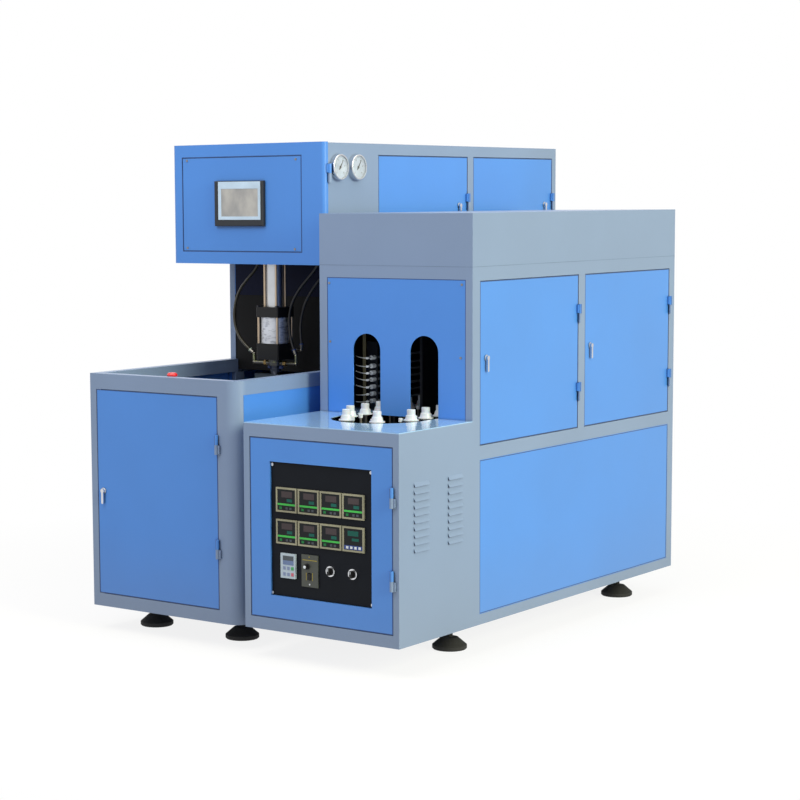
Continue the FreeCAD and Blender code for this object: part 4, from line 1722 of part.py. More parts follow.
# ------------------------------------------------------------------ the whole machine
def pieces():
    """Every node of the machine by name."""
    nodes = {
        "blow_frame": Part.makeCompound([fuse([blow_frame(), base_cylinder()] + hose_glands())]
                                        + bed_members()),
        "blow_panels": blow_panels(),
        "well_back_plate": well_back_plate(),
        "front_door": front_door(),
        "front_latch": facing_front(latch_handle(), FRONT_LATCH_X, FACE_RECESS, FRONT_LATCH_Z),
        "head_cover": head_cover(),
        "head_plate": head_plate(),
        "operator_panel": operator_panel(),
        "pressure_gauges": pressure_gauges(),
        "stop_button": stop_button(),
        "levelling_feet": levelling_feet(),
        "stretch_cylinder": stretch_cylinder(),
        "seal_cylinder": seal_cylinder(),
        "cylinder_caps": cylinder_caps(),
        "cylinder_tie_rods": cylinder_tie_rods(),
        "seal_piston": seal_piston(),
        "stretch_rod": stretch_rod(),
        "air_manifold": Part.makeCompound([air_manifold(), port_elbow()]),
        "hose_left": hose(HOSE_LEFT),
        "hose_right": hose(HOSE_RIGHT),
        "hose_rear": hose(HOSE_REAR),
        "clamp_plates": clamp_plates(),
        "tie_bars": tie_bars(),
        "moving_platen": moving_platen(),
        "mould_front": mould_half(True),
        "mould_rear": mould_half(False),
        "mould_base": mould_base(),
        "clamp_cylinder": clamp_cylinder(),
        "clamp_rod": clamp_rod(),
        "heater_frame": heater_frame(),
        "oven_hood": oven_hood(),
        "top_plate": top_plate(),
        "oven_front_panel": oven_front_panel(),
        "heater_panels": heater_panels(),
        "control_door": control_door(),
        "control_panel": control_panel(),
        "temperature_controllers": temperature_controllers(),
        "drive_controls": drive_controls(),
        "speed_knob": speed_knob(),
        "rocker_switch": rocker_switch(),
        "mandrel_chain": mandrel_chain(),
        "mandrel_heads": mandrel_heads(),
        "chain_deck": chain_deck(),
        "chain_wheel_front": chain_wheel(LOOP_FRONT_Y),
        "chain_wheel_rear": chain_wheel(LOOP_REAR_Y),
        "drive_motor": drive_motor(),
        "oven_lamps": oven_lamps(),
        "oven_reflectors": oven_reflectors(),
    }
    for name, y in zip(("blow", "supply"), GAUGE_PLACES):
        nodes["gauge_needle_" + name] = gauge_needle(y)
    for name, x in zip(("left", "right"), SELECTOR_PLACES):
        nodes["selector_knob_" + name] = selector_knob(x)
    for index, name in enumerate(("front", "rear")):
        upper_start = UPPER_DOOR_STARTS[index]
        nodes["upper_door_" + name] = upper_door(upper_start)
        latch_y = upper_start + UPPER_DOOR_LENGTH - UPPER_LATCH_INSET
        nodes["upper_latch_" + name] = facing_right(latch_handle(), BLOW_WIDTH - FACE_RECESS,
                                                    latch_y, UPPER_LATCH_Z)
        nodes["oven_door_" + name] = oven_door(index)
        oven_y = OVEN_DOOR_STARTS[index] + OVEN_LATCH_INSET
        nodes["oven_latch_" + name] = facing_right(latch_handle(), HEATER_RIGHT - FACE_RECESS,
                                                   oven_y, OVEN_LATCH_Z)
    return nodes


def footprint_shift(nodes):
    """Move that brings the centre of the footprint to the origin."""
    box = FreeCAD.BoundBox()
    for shape in nodes.values():
        box.add(shape.BoundBox)
    return Vector(-box.Center.x, -box.Center.y, -box.ZMin)


def main():
    """Build every node and write it."""
    os.makedirs("parts", exist_ok=True)
    nodes = pieces()
    shift = footprint_shift(nodes)
    for name, shape in nodes.items():
        moved = shape.copy()
        moved.translate(shift)
        moved.exportStep("parts/" + name + ".step")
    print("nodes", len(nodes), "shift", shift)


main()
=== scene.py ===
# %% [markdown]
# # A two-unit bottle blow moulding machine
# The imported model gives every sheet, bar and bearing its true size. This notebook dresses it: it
# paints the cabinets, adds the screws, dials, key caps, wires and hoses that are too fine for the
# solids, and lights the row like a catalogue picture. Everything is in metres, and a finished
# piece keeps its object at the origin with its place in its mesh.

# %% Load the machine
import math
import bmesh
import bpy
from mathutils import Matrix, Vector


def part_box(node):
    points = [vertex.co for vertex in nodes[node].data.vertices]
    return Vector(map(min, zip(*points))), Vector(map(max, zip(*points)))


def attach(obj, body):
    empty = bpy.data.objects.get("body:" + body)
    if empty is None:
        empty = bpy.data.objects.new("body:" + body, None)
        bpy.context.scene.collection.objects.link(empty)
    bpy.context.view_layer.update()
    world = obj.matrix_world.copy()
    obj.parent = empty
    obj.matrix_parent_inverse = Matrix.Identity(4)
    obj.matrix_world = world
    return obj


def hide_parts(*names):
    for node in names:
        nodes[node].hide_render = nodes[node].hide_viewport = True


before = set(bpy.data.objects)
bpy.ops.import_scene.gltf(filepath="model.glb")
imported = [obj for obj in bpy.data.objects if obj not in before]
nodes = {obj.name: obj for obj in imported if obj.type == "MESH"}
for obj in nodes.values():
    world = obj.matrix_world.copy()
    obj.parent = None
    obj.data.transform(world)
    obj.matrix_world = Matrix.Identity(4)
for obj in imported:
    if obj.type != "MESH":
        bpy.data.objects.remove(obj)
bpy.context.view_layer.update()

# %% [markdown]
# The builder's drawing measures X from the blowing unit's left wall, Y from its front and Z from
# the floor, in millimetres. One known corner, that of the plate set into the head cover, tells how
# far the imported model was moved, so every size below can be read as on the drawing.

# %% Drawing places to scene places
INSET_CORNER = Vector((23, 545, 1469))
SHIFT = Vector(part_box("head_plate")[0]) - INSET_CORNER / 1000


def place(x, y, z):
    """Scene point of a drawing point in millimetres."""
    return Vector((x, y, z)) / 1000 + SHIFT


def put(name, data):
    """New object in the scene that holds a mesh, a curve, a lamp or a camera."""
    piece = bpy.data.objects.new(name, data)
    bpy.context.scene.collection.objects.link(piece)
    return piece


print("drawing origin lies at", [round(c, 4) for c in SHIFT])

# %% [markdown]
# ## The camera
# The picture was taken from the operator's right, a little above the hood. A long lens keeps the
# uprights nearly parallel, and a small shift of the lens puts the row where the picture has it.
# The camera could be turned with Euler angles, but its three axes say more plainly what it does:
# it looks ahead, its right side is level apart from a slight roll, and the third follows.

# %% Camera
FOCAL_PIXELS = 2069.7
FRAME_PIXELS = 800
IMAGE_CENTRE = (297.3, 429.9)
CAMERA_SPOT = (5498.7, -5871.0, 1666.9)
TURN, DIP, ROLL = math.radians(37.40), math.radians(6.33), math.radians(-0.454)

optics = bpy.data.cameras.new("studio_camera")
optics.lens = FOCAL_PIXELS * optics.sensor_width / FRAME_PIXELS
optics.shift_x = (FRAME_PIXELS / 2 - IMAGE_CENTRE[0]) / FRAME_PIXELS
optics.shift_y = (IMAGE_CENTRE[1] - FRAME_PIXELS / 2) / FRAME_PIXELS
optics.clip_end = 60
camera = put("studio_camera", optics)
ahead = Vector((-math.sin(TURN) * math.cos(DIP), math.cos(TURN) * math.cos(DIP), -math.sin(DIP)))
level = Vector((math.cos(TURN), math.sin(TURN), 0))
above = level.cross(ahead)
right = level * math.cos(ROLL) + above * math.sin(ROLL)
up = above * math.cos(ROLL) - level * math.sin(ROLL)
view = Matrix((right, up, -ahead)).transposed().to_4x4()
view.translation = place(*CAMERA_SPOT)
camera.matrix_world = view
bpy.context.scene.camera = camera
print("lens", round(optics.lens, 2), "mm, shift", round(optics.shift_x, 4), round(optics.shift_y, 4))

# %% [markdown]
# ## Shader maths as plain sums
# A material's look changes over a surface through maths on sockets. One small class wraps a
# socket, so that `grain * 0.2 + 0.4` adds its own Math nodes, and `1 - mask` works as well. Any
# other node comes from one method, which takes its settings first and its inputs afterwards.

# %% Sockets and node trees


class Socket:
    """An output socket that can be used in sums."""

    def __init__(self, owner, socket):
        self.owner = owner
        self.socket = socket

    def math(self, operation, *values):
        """A Math node on those values."""
        return self.owner.add("ShaderNodeMath", {"operation": operation}, dict(enumerate(values)))

    def __add__(self, other):
        return self.math("ADD", self, other)

    def __sub__(self, other):
        return self.math("SUBTRACT", self, other)

    def __rsub__(self, other):
        return self.math("SUBTRACT", other, self)

    def __mul__(self, other):
        return self.math("MULTIPLY", self, other)

    def __gt__(self, other):
        return self.math("GREATER_THAN", self, other)

    def __lt__(self, other):
        return self.math("LESS_THAN", self, other)

    def clamp(self, low, high):
        """This value stretched so that low gives 0 and high gives 1."""
        return self.owner.add("ShaderNodeMapRange", {"clamp": True}, {0: self, 1: low, 2: high})

    __radd__ = __add__
    __rmul__ = __mul__


class Maths:
    """The shader nodes of a material or of the world."""

    def __init__(self, tree):
        self.tree = tree

    def add(self, kind, settings, inputs, output=0):
        """A node of that kind, with its settings and inputs, as one of its outputs."""
        node = self.tree.nodes.new(kind)
        for key, value in settings.items():
            setattr(node, key, value)
        for key, value in inputs.items():
            self.feed(node.inputs[key], value)
        return Socket(self, node.outputs[output])

    def feed(self, target, value):
        """Give an input a plain value or a link."""
        if isinstance(value, Socket):
            self.tree.links.new(value.socket, target)
        else:
            target.default_value = value

    def seen(self):
        """One for all that the camera sees, straight, in a mirror or through glass."""
        straight, mirrored, through = (self.add("ShaderNodeLightPath", {}, {}, "Is %s Ray" % kind)
                                       for kind in ("Camera", "Glossy", "Transmission"))
        return straight.math("MAXIMUM", straight, mirrored.math("MAXIMUM", mirrored, through))


# %% [markdown]
# A material is a Principled surface with what feeds it. Two finishes on one piece can be painted
# as a colour mask, which is enough where they shine alike, or as two surfaces behind a Mix Shader,
# which is needed where one is glossy and the other dull. `zone` makes the mask for both.

# %% Materials


class Shader(Maths):
    """A material with its Principled surface and the nodes that feed it."""

    def __init__(self, name, colour, roughness, metallic=0.0):
        self.material = bpy.data.materials.new(name)
        self.material.use_nodes = True
        super().__init__(self.material.node_tree)
        self.surface = self.tree.nodes["Principled BSDF"]
        self.material.diffuse_color = colour
        self.set(Base_Color=colour, Roughness=roughness, Metallic=metallic)
        self.here = self.add("ShaderNodeTexCoord", {}, {}, "Object")

    def set(self, **inputs):
        """Feed the surface's inputs, whose names have _ for each space."""
        for key, value in inputs.items():
            self.feed(self.surface.inputs[key.replace("_", " ")], value)
        return self

    def noise(self, scale, detail=2.0, stretch=None):
        """Noise on the object's own coordinates, stretched where the finish has a grain."""
        where = self.here
        if stretch:
            where = self.add("ShaderNodeMapping", {}, {"Vector": where, "Scale": stretch}, "Vector")
        return self.add("ShaderNodeTexNoise", {}, {"Vector": where, "Scale": scale, "Detail": detail})

    def axis(self, letter):
        """One coordinate of the surface point."""
        return self.add("ShaderNodeSeparateXYZ", {}, {0: self.here}, letter)

    def zone(self, low, high, letters="XYZ"):
        """One between two drawing points, along the axes of those letters."""
        low, high = place(*low), place(*high)
        limits = []
        for letter in letters:
            value, index = self.axis(letter), "XYZ".index(letter)
            limits += [value > low[index], value < high[index]]
        return math.prod(limits[1:], start=limits[0])

    def blend(self, mask, first, second):
        """Colour that goes from first to second as the mask rises."""
        return self.add("ShaderNodeMix", {"data_type": "RGBA"}, {0: mask, 6: first, 7: second}, 2)

    def mottle(self, mask, first, second):
        """Let the surface's colour go from first to second as the mask rises."""
        return self.set(Base_Color=self.blend(mask, first, second))

    def tint(self, mask, colour):
        """Blend another colour over the one that feeds the surface already."""
        own = Socket(self, self.surface.inputs["Base Color"].links[0].from_socket)
        return self.mottle(mask, own, colour)

    def relief(self, height, strength, depth):
        """Bump of that depth in metres, fed to the normal."""
        inputs = {"Height": height, "Strength": strength, "Distance": depth}
        return self.set(Normal=self.add("ShaderNodeBump", {}, inputs))

    def cover(self, mask, second):
        """Show another surface wherever the mask is one."""
        surfaces = {0: mask, 1: Socket(self, self.surface.outputs[0]), 2: second}
        mixed = self.add("ShaderNodeMixShader", {}, surfaces)
        self.feed(self.tree.nodes["Material Output"].inputs[0], mixed)
        return self

    def overlay(self, mask, colour, roughness, shine=0.1, coat=0.0):
        """Cover with a second plain finish wherever the mask is one."""
        plain = {"Base Color": colour, "Roughness": roughness, "Specular IOR Level": shine,
                 "Coat Weight": coat}
        return self.cover(mask, self.add("ShaderNodeBsdfPrincipled", {}, plain))

    def paint(self, *names):
        """Give this material to CAD nodes."""
        for name in names:
            for slot in nodes[name].material_slots:
                slot.material = self.material
        return self


def rgb(red, green, blue):
    """Linear colour of 8-bit screen values, with alpha."""
    def linear(c):
        c = c / 255
        return c / 12.92 if c < 0.04045 else ((c + 0.055) / 1.055) ** 2.4
    return (linear(red), linear(green), linear(blue), 1)


def shade(colour, factor):
    """The same colour lighter or darker."""
    return (*(c * factor for c in colour[:3]), 1)


# %% [markdown]
# ## Powder coat
# Both cabinets are folded sheet with a baked powder coat. Seen close it is not flat: the powder
# melts into a fine orange peel, the film is a little thicker in places, and hands and wipes leave
# soft patches that shine differently. Noise at two scales on Object coordinates gives both, and a
# slightly darker band low on the cabinets stands for dust from the floor.

# %% Powder coat


def powder_coat(name, colour, roughness):
    """Baked powder paint with orange peel, soft patches, floor dust and painted shade in crevices."""
    coat = Shader(name, colour, roughness)
    patches = coat.noise(2.2, 4.0)
    specks = coat.noise(420.0, 2.0)
    dust = 1 - coat.axis("Z").clamp(0.10, 0.42)
    # Ambient occlusion darkens crevices and corners: painted shade.
    seam_shade = coat.add("ShaderNodeAmbientOcclusion", {"samples": 6}, {"Distance": 0.016}, "AO")
    tone = coat.blend(patches.clamp(0.25, 0.75), shade(colour, 0.95), shade(colour, 1.05))
    tone = coat.blend(specks.clamp(0.62, 0.8) * 0.25, tone, shade(colour, 1.25))
    tone = coat.blend(dust * 0.12, tone, rgb(120, 118, 112))
    coat.mottle(seam_shade.clamp(0.30, 0.72), shade(colour, 0.30), tone)
    coat.set(Roughness=patches * 0.14 + specks * 0.06 + (roughness - 0.1) + dust * 0.08)
    coat.set(Specular_IOR_Level=0.45, Coat_Weight=0.12, Coat_Roughness=0.22)
    peel = coat.noise(330.0, 2.0) + coat.noise(900.0, 1.0) * 0.4
    return coat.relief(peel, 0.35, 0.00022)


BLUE, BLUE_ROUGHNESS = rgb(70, 130, 214), 0.38
GREY, GREY_ROUGHNESS = rgb(118, 138, 173), 0.44
grey_coat = powder_coat("grey_powder_coat", GREY, GREY_ROUGHNESS)
grey_coat.paint("blow_frame", "heater_frame", "oven_hood")

# %% [markdown]
# Every blue panel is a tray with folded edges. The powder lies thinner on a fold and shade falls
# into the gap beside it, so each panel has a dark blue line round its face: thinner powder and
# painted shade. The line could be a strip of mesh, but it is paint, so a mask made of the panel's
# own four borders draws it. Two more masks paint shade where little light reaches: the apron deep
# in the well and the heater's inner walls.

# %% Blue panels with their painted edge shade
EDGE, EDGE_SHADE_BLUE = 3.2, rgb(26, 50, 104)
PANELS = {
    "front_door": ("X", 32, 636, 148, 946),
    "head_cover": ("X", 17.8, 625.2, 1463.8, 1842.2),
    "upper_door_front": ("Y", 906, 1556, 1064, 1841),
    "upper_door_rear": ("Y", 1604, 2254, 1064, 1841),
    "oven_front_panel": ("X", 835, 1456, 800, 1378),
    "heater_panels": ("Y", 473, 1938, 153, 720),
    "control_door": ("X", 829, 1458, 159, 816),
    "oven_door_front": ("Y", 473, 1182, 776, 1371),
    "oven_door_rear": ("Y", 1236, 1938, 776, 1371),
}
HEATER_INSIDE_SHADE = ((802, -40, 740), (1483, 1984, 1600))
APRON_SHADE = ((30, 860, 1270), (704, 870, 1420))

for panel, (letter, u0, u1, z0, z1) in PANELS.items():
    coat = powder_coat(panel + "_coat", BLUE, BLUE_ROUGHNESS)
    whole, face = (coat.zone((u0 + inset, u0 + inset, z0 + inset), (u1 - inset, u1 - inset, z1 - inset),
                             letter + "Z") for inset in (0, EDGE))
    # Dark blue line round each panel's face: thinner powder on the fold and painted shade from the gap.
    coat.tint((whole - face) * 0.8, EDGE_SHADE_BLUE).paint(panel)
    if panel == "heater_panels":
        # Near-black surface over the heater's inner walls: painted shade.
        coat.overlay(coat.zone(*HEATER_INSIDE_SHADE), rgb(16, 18, 24), 0.6)

powder_coat("head_plate_coat", BLUE, BLUE_ROUGHNESS).paint("head_plate")
well_coat = powder_coat("well_powder_coat", BLUE, BLUE_ROUGHNESS)
# Dark navy over the apron deep in the well: painted shade.
well_coat.overlay(well_coat.zone(*APRON_SHADE), rgb(12, 20, 48), 0.5).paint("blow_panels")
print("painted the cabinets and", len(PANELS), "panels with an edge line")

# %% [markdown]
# The desk plate is the one glossy panel: a light blue enamel that mirrors the white heads. A low
# roughness alone would turn it into one flat mirror. A clear coat over a duller base keeps the
# colour deep under the reflections, and a very slight waviness shows that the plate is thin.

# %% Desk enamel
DESK_BLUE = rgb(148, 186, 230)
enamel = Shader("desk_enamel", DESK_BLUE, 0.22)
wave = enamel.noise(9.0, 2.0)
enamel.mottle(wave.clamp(0.3, 0.7), shade(DESK_BLUE, 0.97), shade(DESK_BLUE, 1.03))
enamel.set(Roughness=enamel.noise(35.0, 3.0) * 0.10 + 0.14, Coat_Weight=0.6, Coat_Roughness=0.06)
enamel.relief(wave + enamel.noise(700.0, 1.0) * 0.02, 0.25, 0.0006).paint("top_plate")
print("painted the desk, materials so far:", len(bpy.data.materials))

# %% [markdown]
# ## Bare and plated metals
# Ground steel shows fine lines along its length, turned bars have rings, chrome is nearly smooth
# and the anodised barrels have a soft satin. They share one recipe: metallic base, a stretched
# noise for the tool marks, and roughness that follows the same marks. The lower barrel is still
# in its packing film, whose folds get a second, darker tone: painted shade.

# %% Metals


def metal(name, colour, roughness, marks, depth, spread=0.12):
    """Machined metal; marks is the stretch of its tool marks along X, Y and Z."""
    bar = Shader(name, colour, roughness, 1.0)
    lines = bar.noise(60.0, 3.0, marks)
    smears = bar.noise(14.0, 3.0)
    bar.mottle(smears.clamp(0.3, 0.75), shade(colour, 0.86), shade(colour, 1.04))
    bar.set(Roughness=lines * spread + smears * 0.08 + (roughness - 0.1))
    return bar.relief(lines, 0.3, depth)


metal("turned_chrome", rgb(214, 216, 220), 0.16, (1, 1, 14), 0.00002).paint(
    "front_latch", "upper_latch_front", "upper_latch_rear", "oven_latch_front", "oven_latch_rear",
    "pressure_gauges", "tie_bars", "clamp_rod", "stretch_rod")
metal("satin_barrel", rgb(205, 208, 212), 0.36, (10, 10, 0.6), 0.00004).paint("stretch_cylinder")
film_wrap = metal("film_barrel", rgb(216, 220, 228), 0.52, (10, 10, 0.6), 0.00004, 0.2)
# Darker streaks along the film's folds: painted shade.
fold_shade = film_wrap.noise(34.0, 4.0, (1, 1, 3.2)).clamp(0.5, 0.64)
film_wrap.tint(fold_shade * 0.6, rgb(124, 130, 144)).paint("seal_cylinder")
metal("ground_steel", rgb(150, 152, 156), 0.36, (1, 12, 12), 0.00005).paint(
    "mould_front", "mould_rear", "mould_base", "chain_wheel_front", "chain_wheel_rear")
metal("oiled_chain", rgb(92, 92, 94), 0.38, (4, 4, 4), 0.00008).paint("mandrel_chain")
metal("dark_nozzle", rgb(84, 88, 100), 0.34, (1, 1, 12), 0.00004).paint("seal_piston")
metal("plated_rod", rgb(192, 172, 148), 0.30, (8, 8, 1), 0.00003).paint("cylinder_tie_rods")
print("painted the metals, materials so far:", len(bpy.data.materials))

# %% [markdown]
# The manifold's ports have a greenish patina between two heights, and the upright reflector in
# the middle of the oven is much darker than the two at the sides: a mask in each tells them apart.

# %% Manifold and reflectors
PATINA_LOW, PATINA_HIGH = (0, 0, 1018), (0, 0, 1050)
CENTRE_LEFT, CENTRE_RIGHT = (1130, 0, 0), (1162, 0, 0)
fitting = metal("nickel_fitting", rgb(112, 110, 106), 0.32, (4, 4, 4), 0.00004)
patina = fitting.zone(PATINA_LOW, PATINA_HIGH, "Z") * fitting.noise(60.0, 2.0).clamp(0.4, 0.6)
fitting.tint(patina, rgb(150, 156, 118)).paint("air_manifold")
sheets = metal("reflector_sheet", rgb(66, 68, 74), 0.42, (12, 1, 12), 0.00006)
sheets.overlay(sheets.zone(CENTRE_LEFT, CENTRE_RIGHT, "X"), rgb(30, 32, 40), 0.6).paint("oven_reflectors")

# %% [markdown]
# The cylinder caps are black anodised blocks, the clamp's plates and cylinder are painted iron
# castings with a coarse skin, and the deck is dark painted steel. The well's back plate is a
# near-black sheet that stands for the dark interior behind it, so its colour is painted shade.
# Each could have its own nodes, but they differ only in colour, gloss and the size of their
# pebbles, so one function takes those, and it serves the knobs, cases and keys as well.

# %% Castings and dark paint


def rough_skin(name, colour, roughness, scale, depth, shine=0.5):
    """Cast, moulded or dark painted surface with a pebbled skin."""
    skin = Shader(name, colour, roughness).set(Specular_IOR_Level=shine)
    pebbles = skin.noise(scale, 4.0)
    skin.mottle(skin.noise(6.0, 3.0).clamp(0.3, 0.7), shade(colour, 0.8), shade(colour, 1.2))
    skin.set(Roughness=pebbles * 0.18 + (roughness - 0.09))
    return skin.relief(pebbles, 0.4, depth)


rough_skin("black_anodised", rgb(16, 17, 20), 0.42, 500.0, 0.00006, 0.3).paint("cylinder_caps")
rough_skin("iron_casting", rgb(70, 82, 96), 0.62, 120.0, 0.0004).paint(
    "clamp_plates", "moving_platen", "clamp_cylinder", "drive_motor")
rough_skin("dark_sheet", rgb(30, 34, 46), 0.5, 600.0, 0.0001, 0.3).paint("chain_deck")
# Near-black sheet standing for the dark interior behind the well: painted shade.
rough_skin("black_sheet", rgb(15, 16, 19), 0.6, 600.0, 0.0001, 0.15).paint("well_back_plate")
rough_skin("moulded_rubber", rgb(28, 28, 29), 0.78, 260.0, 0.0003).paint("levelling_feet")
rough_skin("black_knob", rgb(18, 18, 21), 0.45, 700.0, 0.0001, 0.3).paint(
    "speed_knob", "rocker_switch", "selector_knob_left", "selector_knob_right", "gauge_needle_blow",
    "gauge_needle_supply")
rough_skin("panel_black", rgb(14, 18, 26), 0.5, 800.0, 0.00008, 0.12).paint("control_panel")
rough_skin("case_black", rgb(34, 38, 46), 0.4, 600.0, 0.00008, 0.35).paint("operator_panel")
red = rough_skin("stop_red", rgb(206, 30, 34), 0.34, 500.0, 0.00005)
red.set(Coat_Weight=0.4, Coat_Roughness=0.12).paint("stop_button")
print("painted the castings and dark parts, materials so far:", len(bpy.data.materials))

# %% [markdown]
# The mandrel heads are turned from white plastic. Plain white paint would look hard and chalky,
# so light goes a little way into it, which softens the edges, and faint turning rings run round
# each head.

# %% White plastic
WHITE = rgb(206, 213, 226)
white = Shader("turned_white_plastic", WHITE, 0.38)
rings = white.noise(40.0, 2.0, (1, 1, 16))
white.mottle(white.noise(30.0, 2.0).clamp(0.3, 0.7), shade(WHITE, 0.95), shade(WHITE, 1.0))
white.set(Roughness=rings * 0.15 + 0.28, Subsurface_Weight=0.12, Subsurface_Scale=0.004)
white.relief(rings, 0.25, 0.0001)

# %% [markdown]
# ## Lamps
# Each lamp is a quartz tube with a ceramic cap at both ends, all one solid. A mask on the Y
# coordinate tells cap from tube, and it drives a Mix Shader between the dull ceramic and a smooth,
# dark surface: from outside, the unlit tube shows little but its reflections.

# %% Quartz lamps
lamp_low, lamp_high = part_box("oven_lamps")
CAP_LENGTH = 0.028
lamp = Shader("quartz_lamp", rgb(222, 220, 212), 0.55)
along = lamp.axis("Y")
cap = (along < lamp_low[1] + CAP_LENGTH) + (along > lamp_high[1] - CAP_LENGTH)
lamp.mottle(lamp.noise(80.0, 3.0).clamp(0.3, 0.7), rgb(166, 172, 178), rgb(196, 202, 208))
lamp.overlay(1 - cap, rgb(120, 124, 130), 0.12, 0.5, 0.5).paint("oven_lamps")
print("lamps are", round(lamp_high[1] - lamp_low[1], 3), "m long with caps of", CAP_LENGTH, "m")

# %% [markdown]
# ## Instruments on the black panel
# The controllers are khaki grey plug-in cases. The keypad, the speed plate and the two selector
# rings share one node. It could be cut into three pieces, but one material can tell them apart by
# their place along X: pale keypad, dark plate, chromed rings.

# %% Controller and drive materials
rough_skin("controller_case", rgb(146, 144, 126), 0.48, 700.0, 0.00006, 0.3).paint("temperature_controllers")

KEYPAD_END, PLATE_END = place(1040, 0, 0).x, place(1145, 0, 0).x
drive = Shader("drive_controls", rgb(190, 194, 200), 0.4)
across = drive.axis("X")
ring_zone = across > PLATE_END
pebble = drive.noise(600.0, 2.0)
tone = drive.blend(across > KEYPAD_END, rgb(172, 188, 206), rgb(62, 66, 62))
drive.mottle(ring_zone, tone, rgb(214, 216, 220))
drive.set(Metallic=ring_zone, Roughness=pebble * 0.1 + 0.34 - ring_zone * 0.16)
drive.relief(pebble, 0.3, 0.00005).paint("drive_controls")

# %% [markdown]
# ## Helpers for added pieces
# Every added piece that is not grown by a node tree is a bmesh in scene coordinates. It becomes an
# object with its materials and its body in one place, and a small bevel there softens its edges.

# %% Finishing a mesh


def apply_modifiers(piece):
    """Turn the evaluated shape into the piece's plain mesh."""
    bpy.context.view_layer.update()
    graph = bpy.context.evaluated_depsgraph_get()
    mesh = bpy.data.meshes.new_from_object(piece.evaluated_get(graph), depsgraph=graph)
    piece.modifiers.clear()
    piece.data = mesh


def finish_mesh(name, bm, shaders, body, bevel=0.0):
    """Mesh piece from a bmesh in scene coordinates, with its materials and its body."""
    bmesh.ops.recalc_face_normals(bm, faces=bm.faces)
    mesh = bpy.data.meshes.new(name)
    bm.to_mesh(mesh)
    bm.free()
    for shader in shaders:
        mesh.materials.append(shader.material)
    piece = put(name, mesh)
    if bevel:
        rounding = piece.modifiers.new("edges", "BEVEL")
        rounding.width = bevel
        rounding.segments = 2
        apply_modifiers(piece)
    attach(piece, body)


# %% [markdown]
# A round piece is drawn upright on the Z axis, as a disc, a turned profile or a chain of rings,
# and one matrix then stands it on its place with that axis along the way it faces.

# %% Round pieces


def stand(where, way):
    """Matrix that turns Z to the way a piece faces and moves it to a scene point."""
    turn = Vector((0, 0, 1)).rotation_difference(Vector(way)).to_matrix().to_4x4()
    return Matrix.Translation(where) @ turn


def disc(name, where, way, radius, thick, shader, body):
    """Short round bar whose back lies at the scene point."""
    bm = bmesh.new()
    matrix = stand(where, way) @ Matrix.Translation((0, 0, thick / 2))
    bmesh.ops.create_cone(bm, cap_ends=True, segments=48, radius1=radius, radius2=radius, depth=thick,
                          matrix=matrix)
    finish_mesh(name, bm, [shader], body)


def bridge(bm, rings):
    """Faces between each ring of corners and the next; a ring of one corner is a pole."""
    for one, two in zip(rings, rings[1:]):
        for k in range(max(len(one), len(two))):
            j = k + 1
            corners = one[k % len(one)], one[j % len(one)], two[j % len(two)], two[k % len(two)]
            bm.faces.new(dict.fromkeys(corners))


def lathe(name, where, way, profile, sides, shader, body, closed=False):
    """Turned piece from the radius and height of each point of its profile."""
    bm = bmesh.new()
    turns = [2 * math.pi * k / sides for k in range(sides)]
    rings = [[bm.verts.new((r * math.cos(a), r * math.sin(a), h)) for a in (turns if r else [0])]
             for r, h in profile]
    bridge(bm, rings + rings[:1] if closed else rings)
    bmesh.ops.transform(bm, matrix=stand(where, way), verts=bm.verts)
    finish_mesh(name, bm, [shader], body)


def sleeve(name, where, way, inner, outer, length, shader, sides=24):
    """Short pipe sleeve whose end lies at the scene point."""
    profile = ((inner, 0), (outer, 0), (outer, length), (inner, length))
    lathe(name, where, way, profile, sides, shader, "machine", True)


# %% [markdown]
# ## Hoses
# Three hoses carry air from glands in the head's floor to the cylinder and its manifold, two of
# black rubber and the left one slightly olive. A hose could be swept along straight stretches with
# round corners, but these hang free, so each is a NURBS spline through a handful of route points.

# %% Hoses
HOSE_DIAMETER = 0.012
GLAND_Z = 1463
HOSE_ROUTES = {
    "left": [(290, 700, GLAND_Z), (290, 700, 1426), (267, 701, 1388), (226, 702, 1352), (184, 703, 1309),
             (158, 703, 1253), (151, 702, 1191), (167, 701, 1133), (202, 700, 1089), (240, 700, 1062)],
    "right": [(594, 700, GLAND_Z), (594, 700, 1428), (566, 700, 1388), (524, 700, 1348), (482, 700, 1304),
              (449, 700, 1252), (436, 700, 1200), (439, 700, 1150), (447, 700, 1102), (462, 700, 1068)],
    "rear": [(634, 738, GLAND_Z), (634, 738, 1428), (604, 738, 1390), (561, 738, 1350), (519, 738, 1302),
             (485, 738, 1248), (467, 738, 1190), (464, 738, 1134), (470, 738, 1090)],
}
tube_black = rough_skin("hose_black", rgb(20, 20, 22), 0.36, 300.0, 0.00008)
tube_olive = rough_skin("hose_olive", rgb(44, 41, 27), 0.34, 300.0, 0.00008)

for side, route in HOSE_ROUTES.items():
    curve = bpy.data.curves.new("hose_line_" + side, "CURVE")
    curve.dimensions = "3D"
    curve.bevel_depth = HOSE_DIAMETER / 2
    curve.bevel_resolution = 5
    curve.resolution_u = 16
    curve.use_fill_caps = True
    spline = curve.splines.new("NURBS")
    spline.points.add(len(route) - 1)
    for point, spot in zip(spline.points, route):
        point.co = (*place(*spot), 1)
    spline.order_u = 3
    spline.use_endpoint_u = True
    curve.materials.append((tube_olive if side == "left" else tube_black).material)
    hose = put("hose_line_" + side, curve)
    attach(hose, "machine")
    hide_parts("hose_" + side)
print("hoses drawn:", len(HOSE_ROUTES))

# %% [markdown]
# ## Repeated parts with Geometry Nodes
# Screws, nuts, ticks, wires, chain plates and mandrel heads repeat by rule, so each kind is one
# node tree that sets an instance on every point of a small seed mesh. A seed point carries the
# direction that its part faces. `NodeTree` makes a tree with named inputs, and `grow` runs it and
# keeps a plain mesh, because the export takes no instances.

# %% Node tree helpers


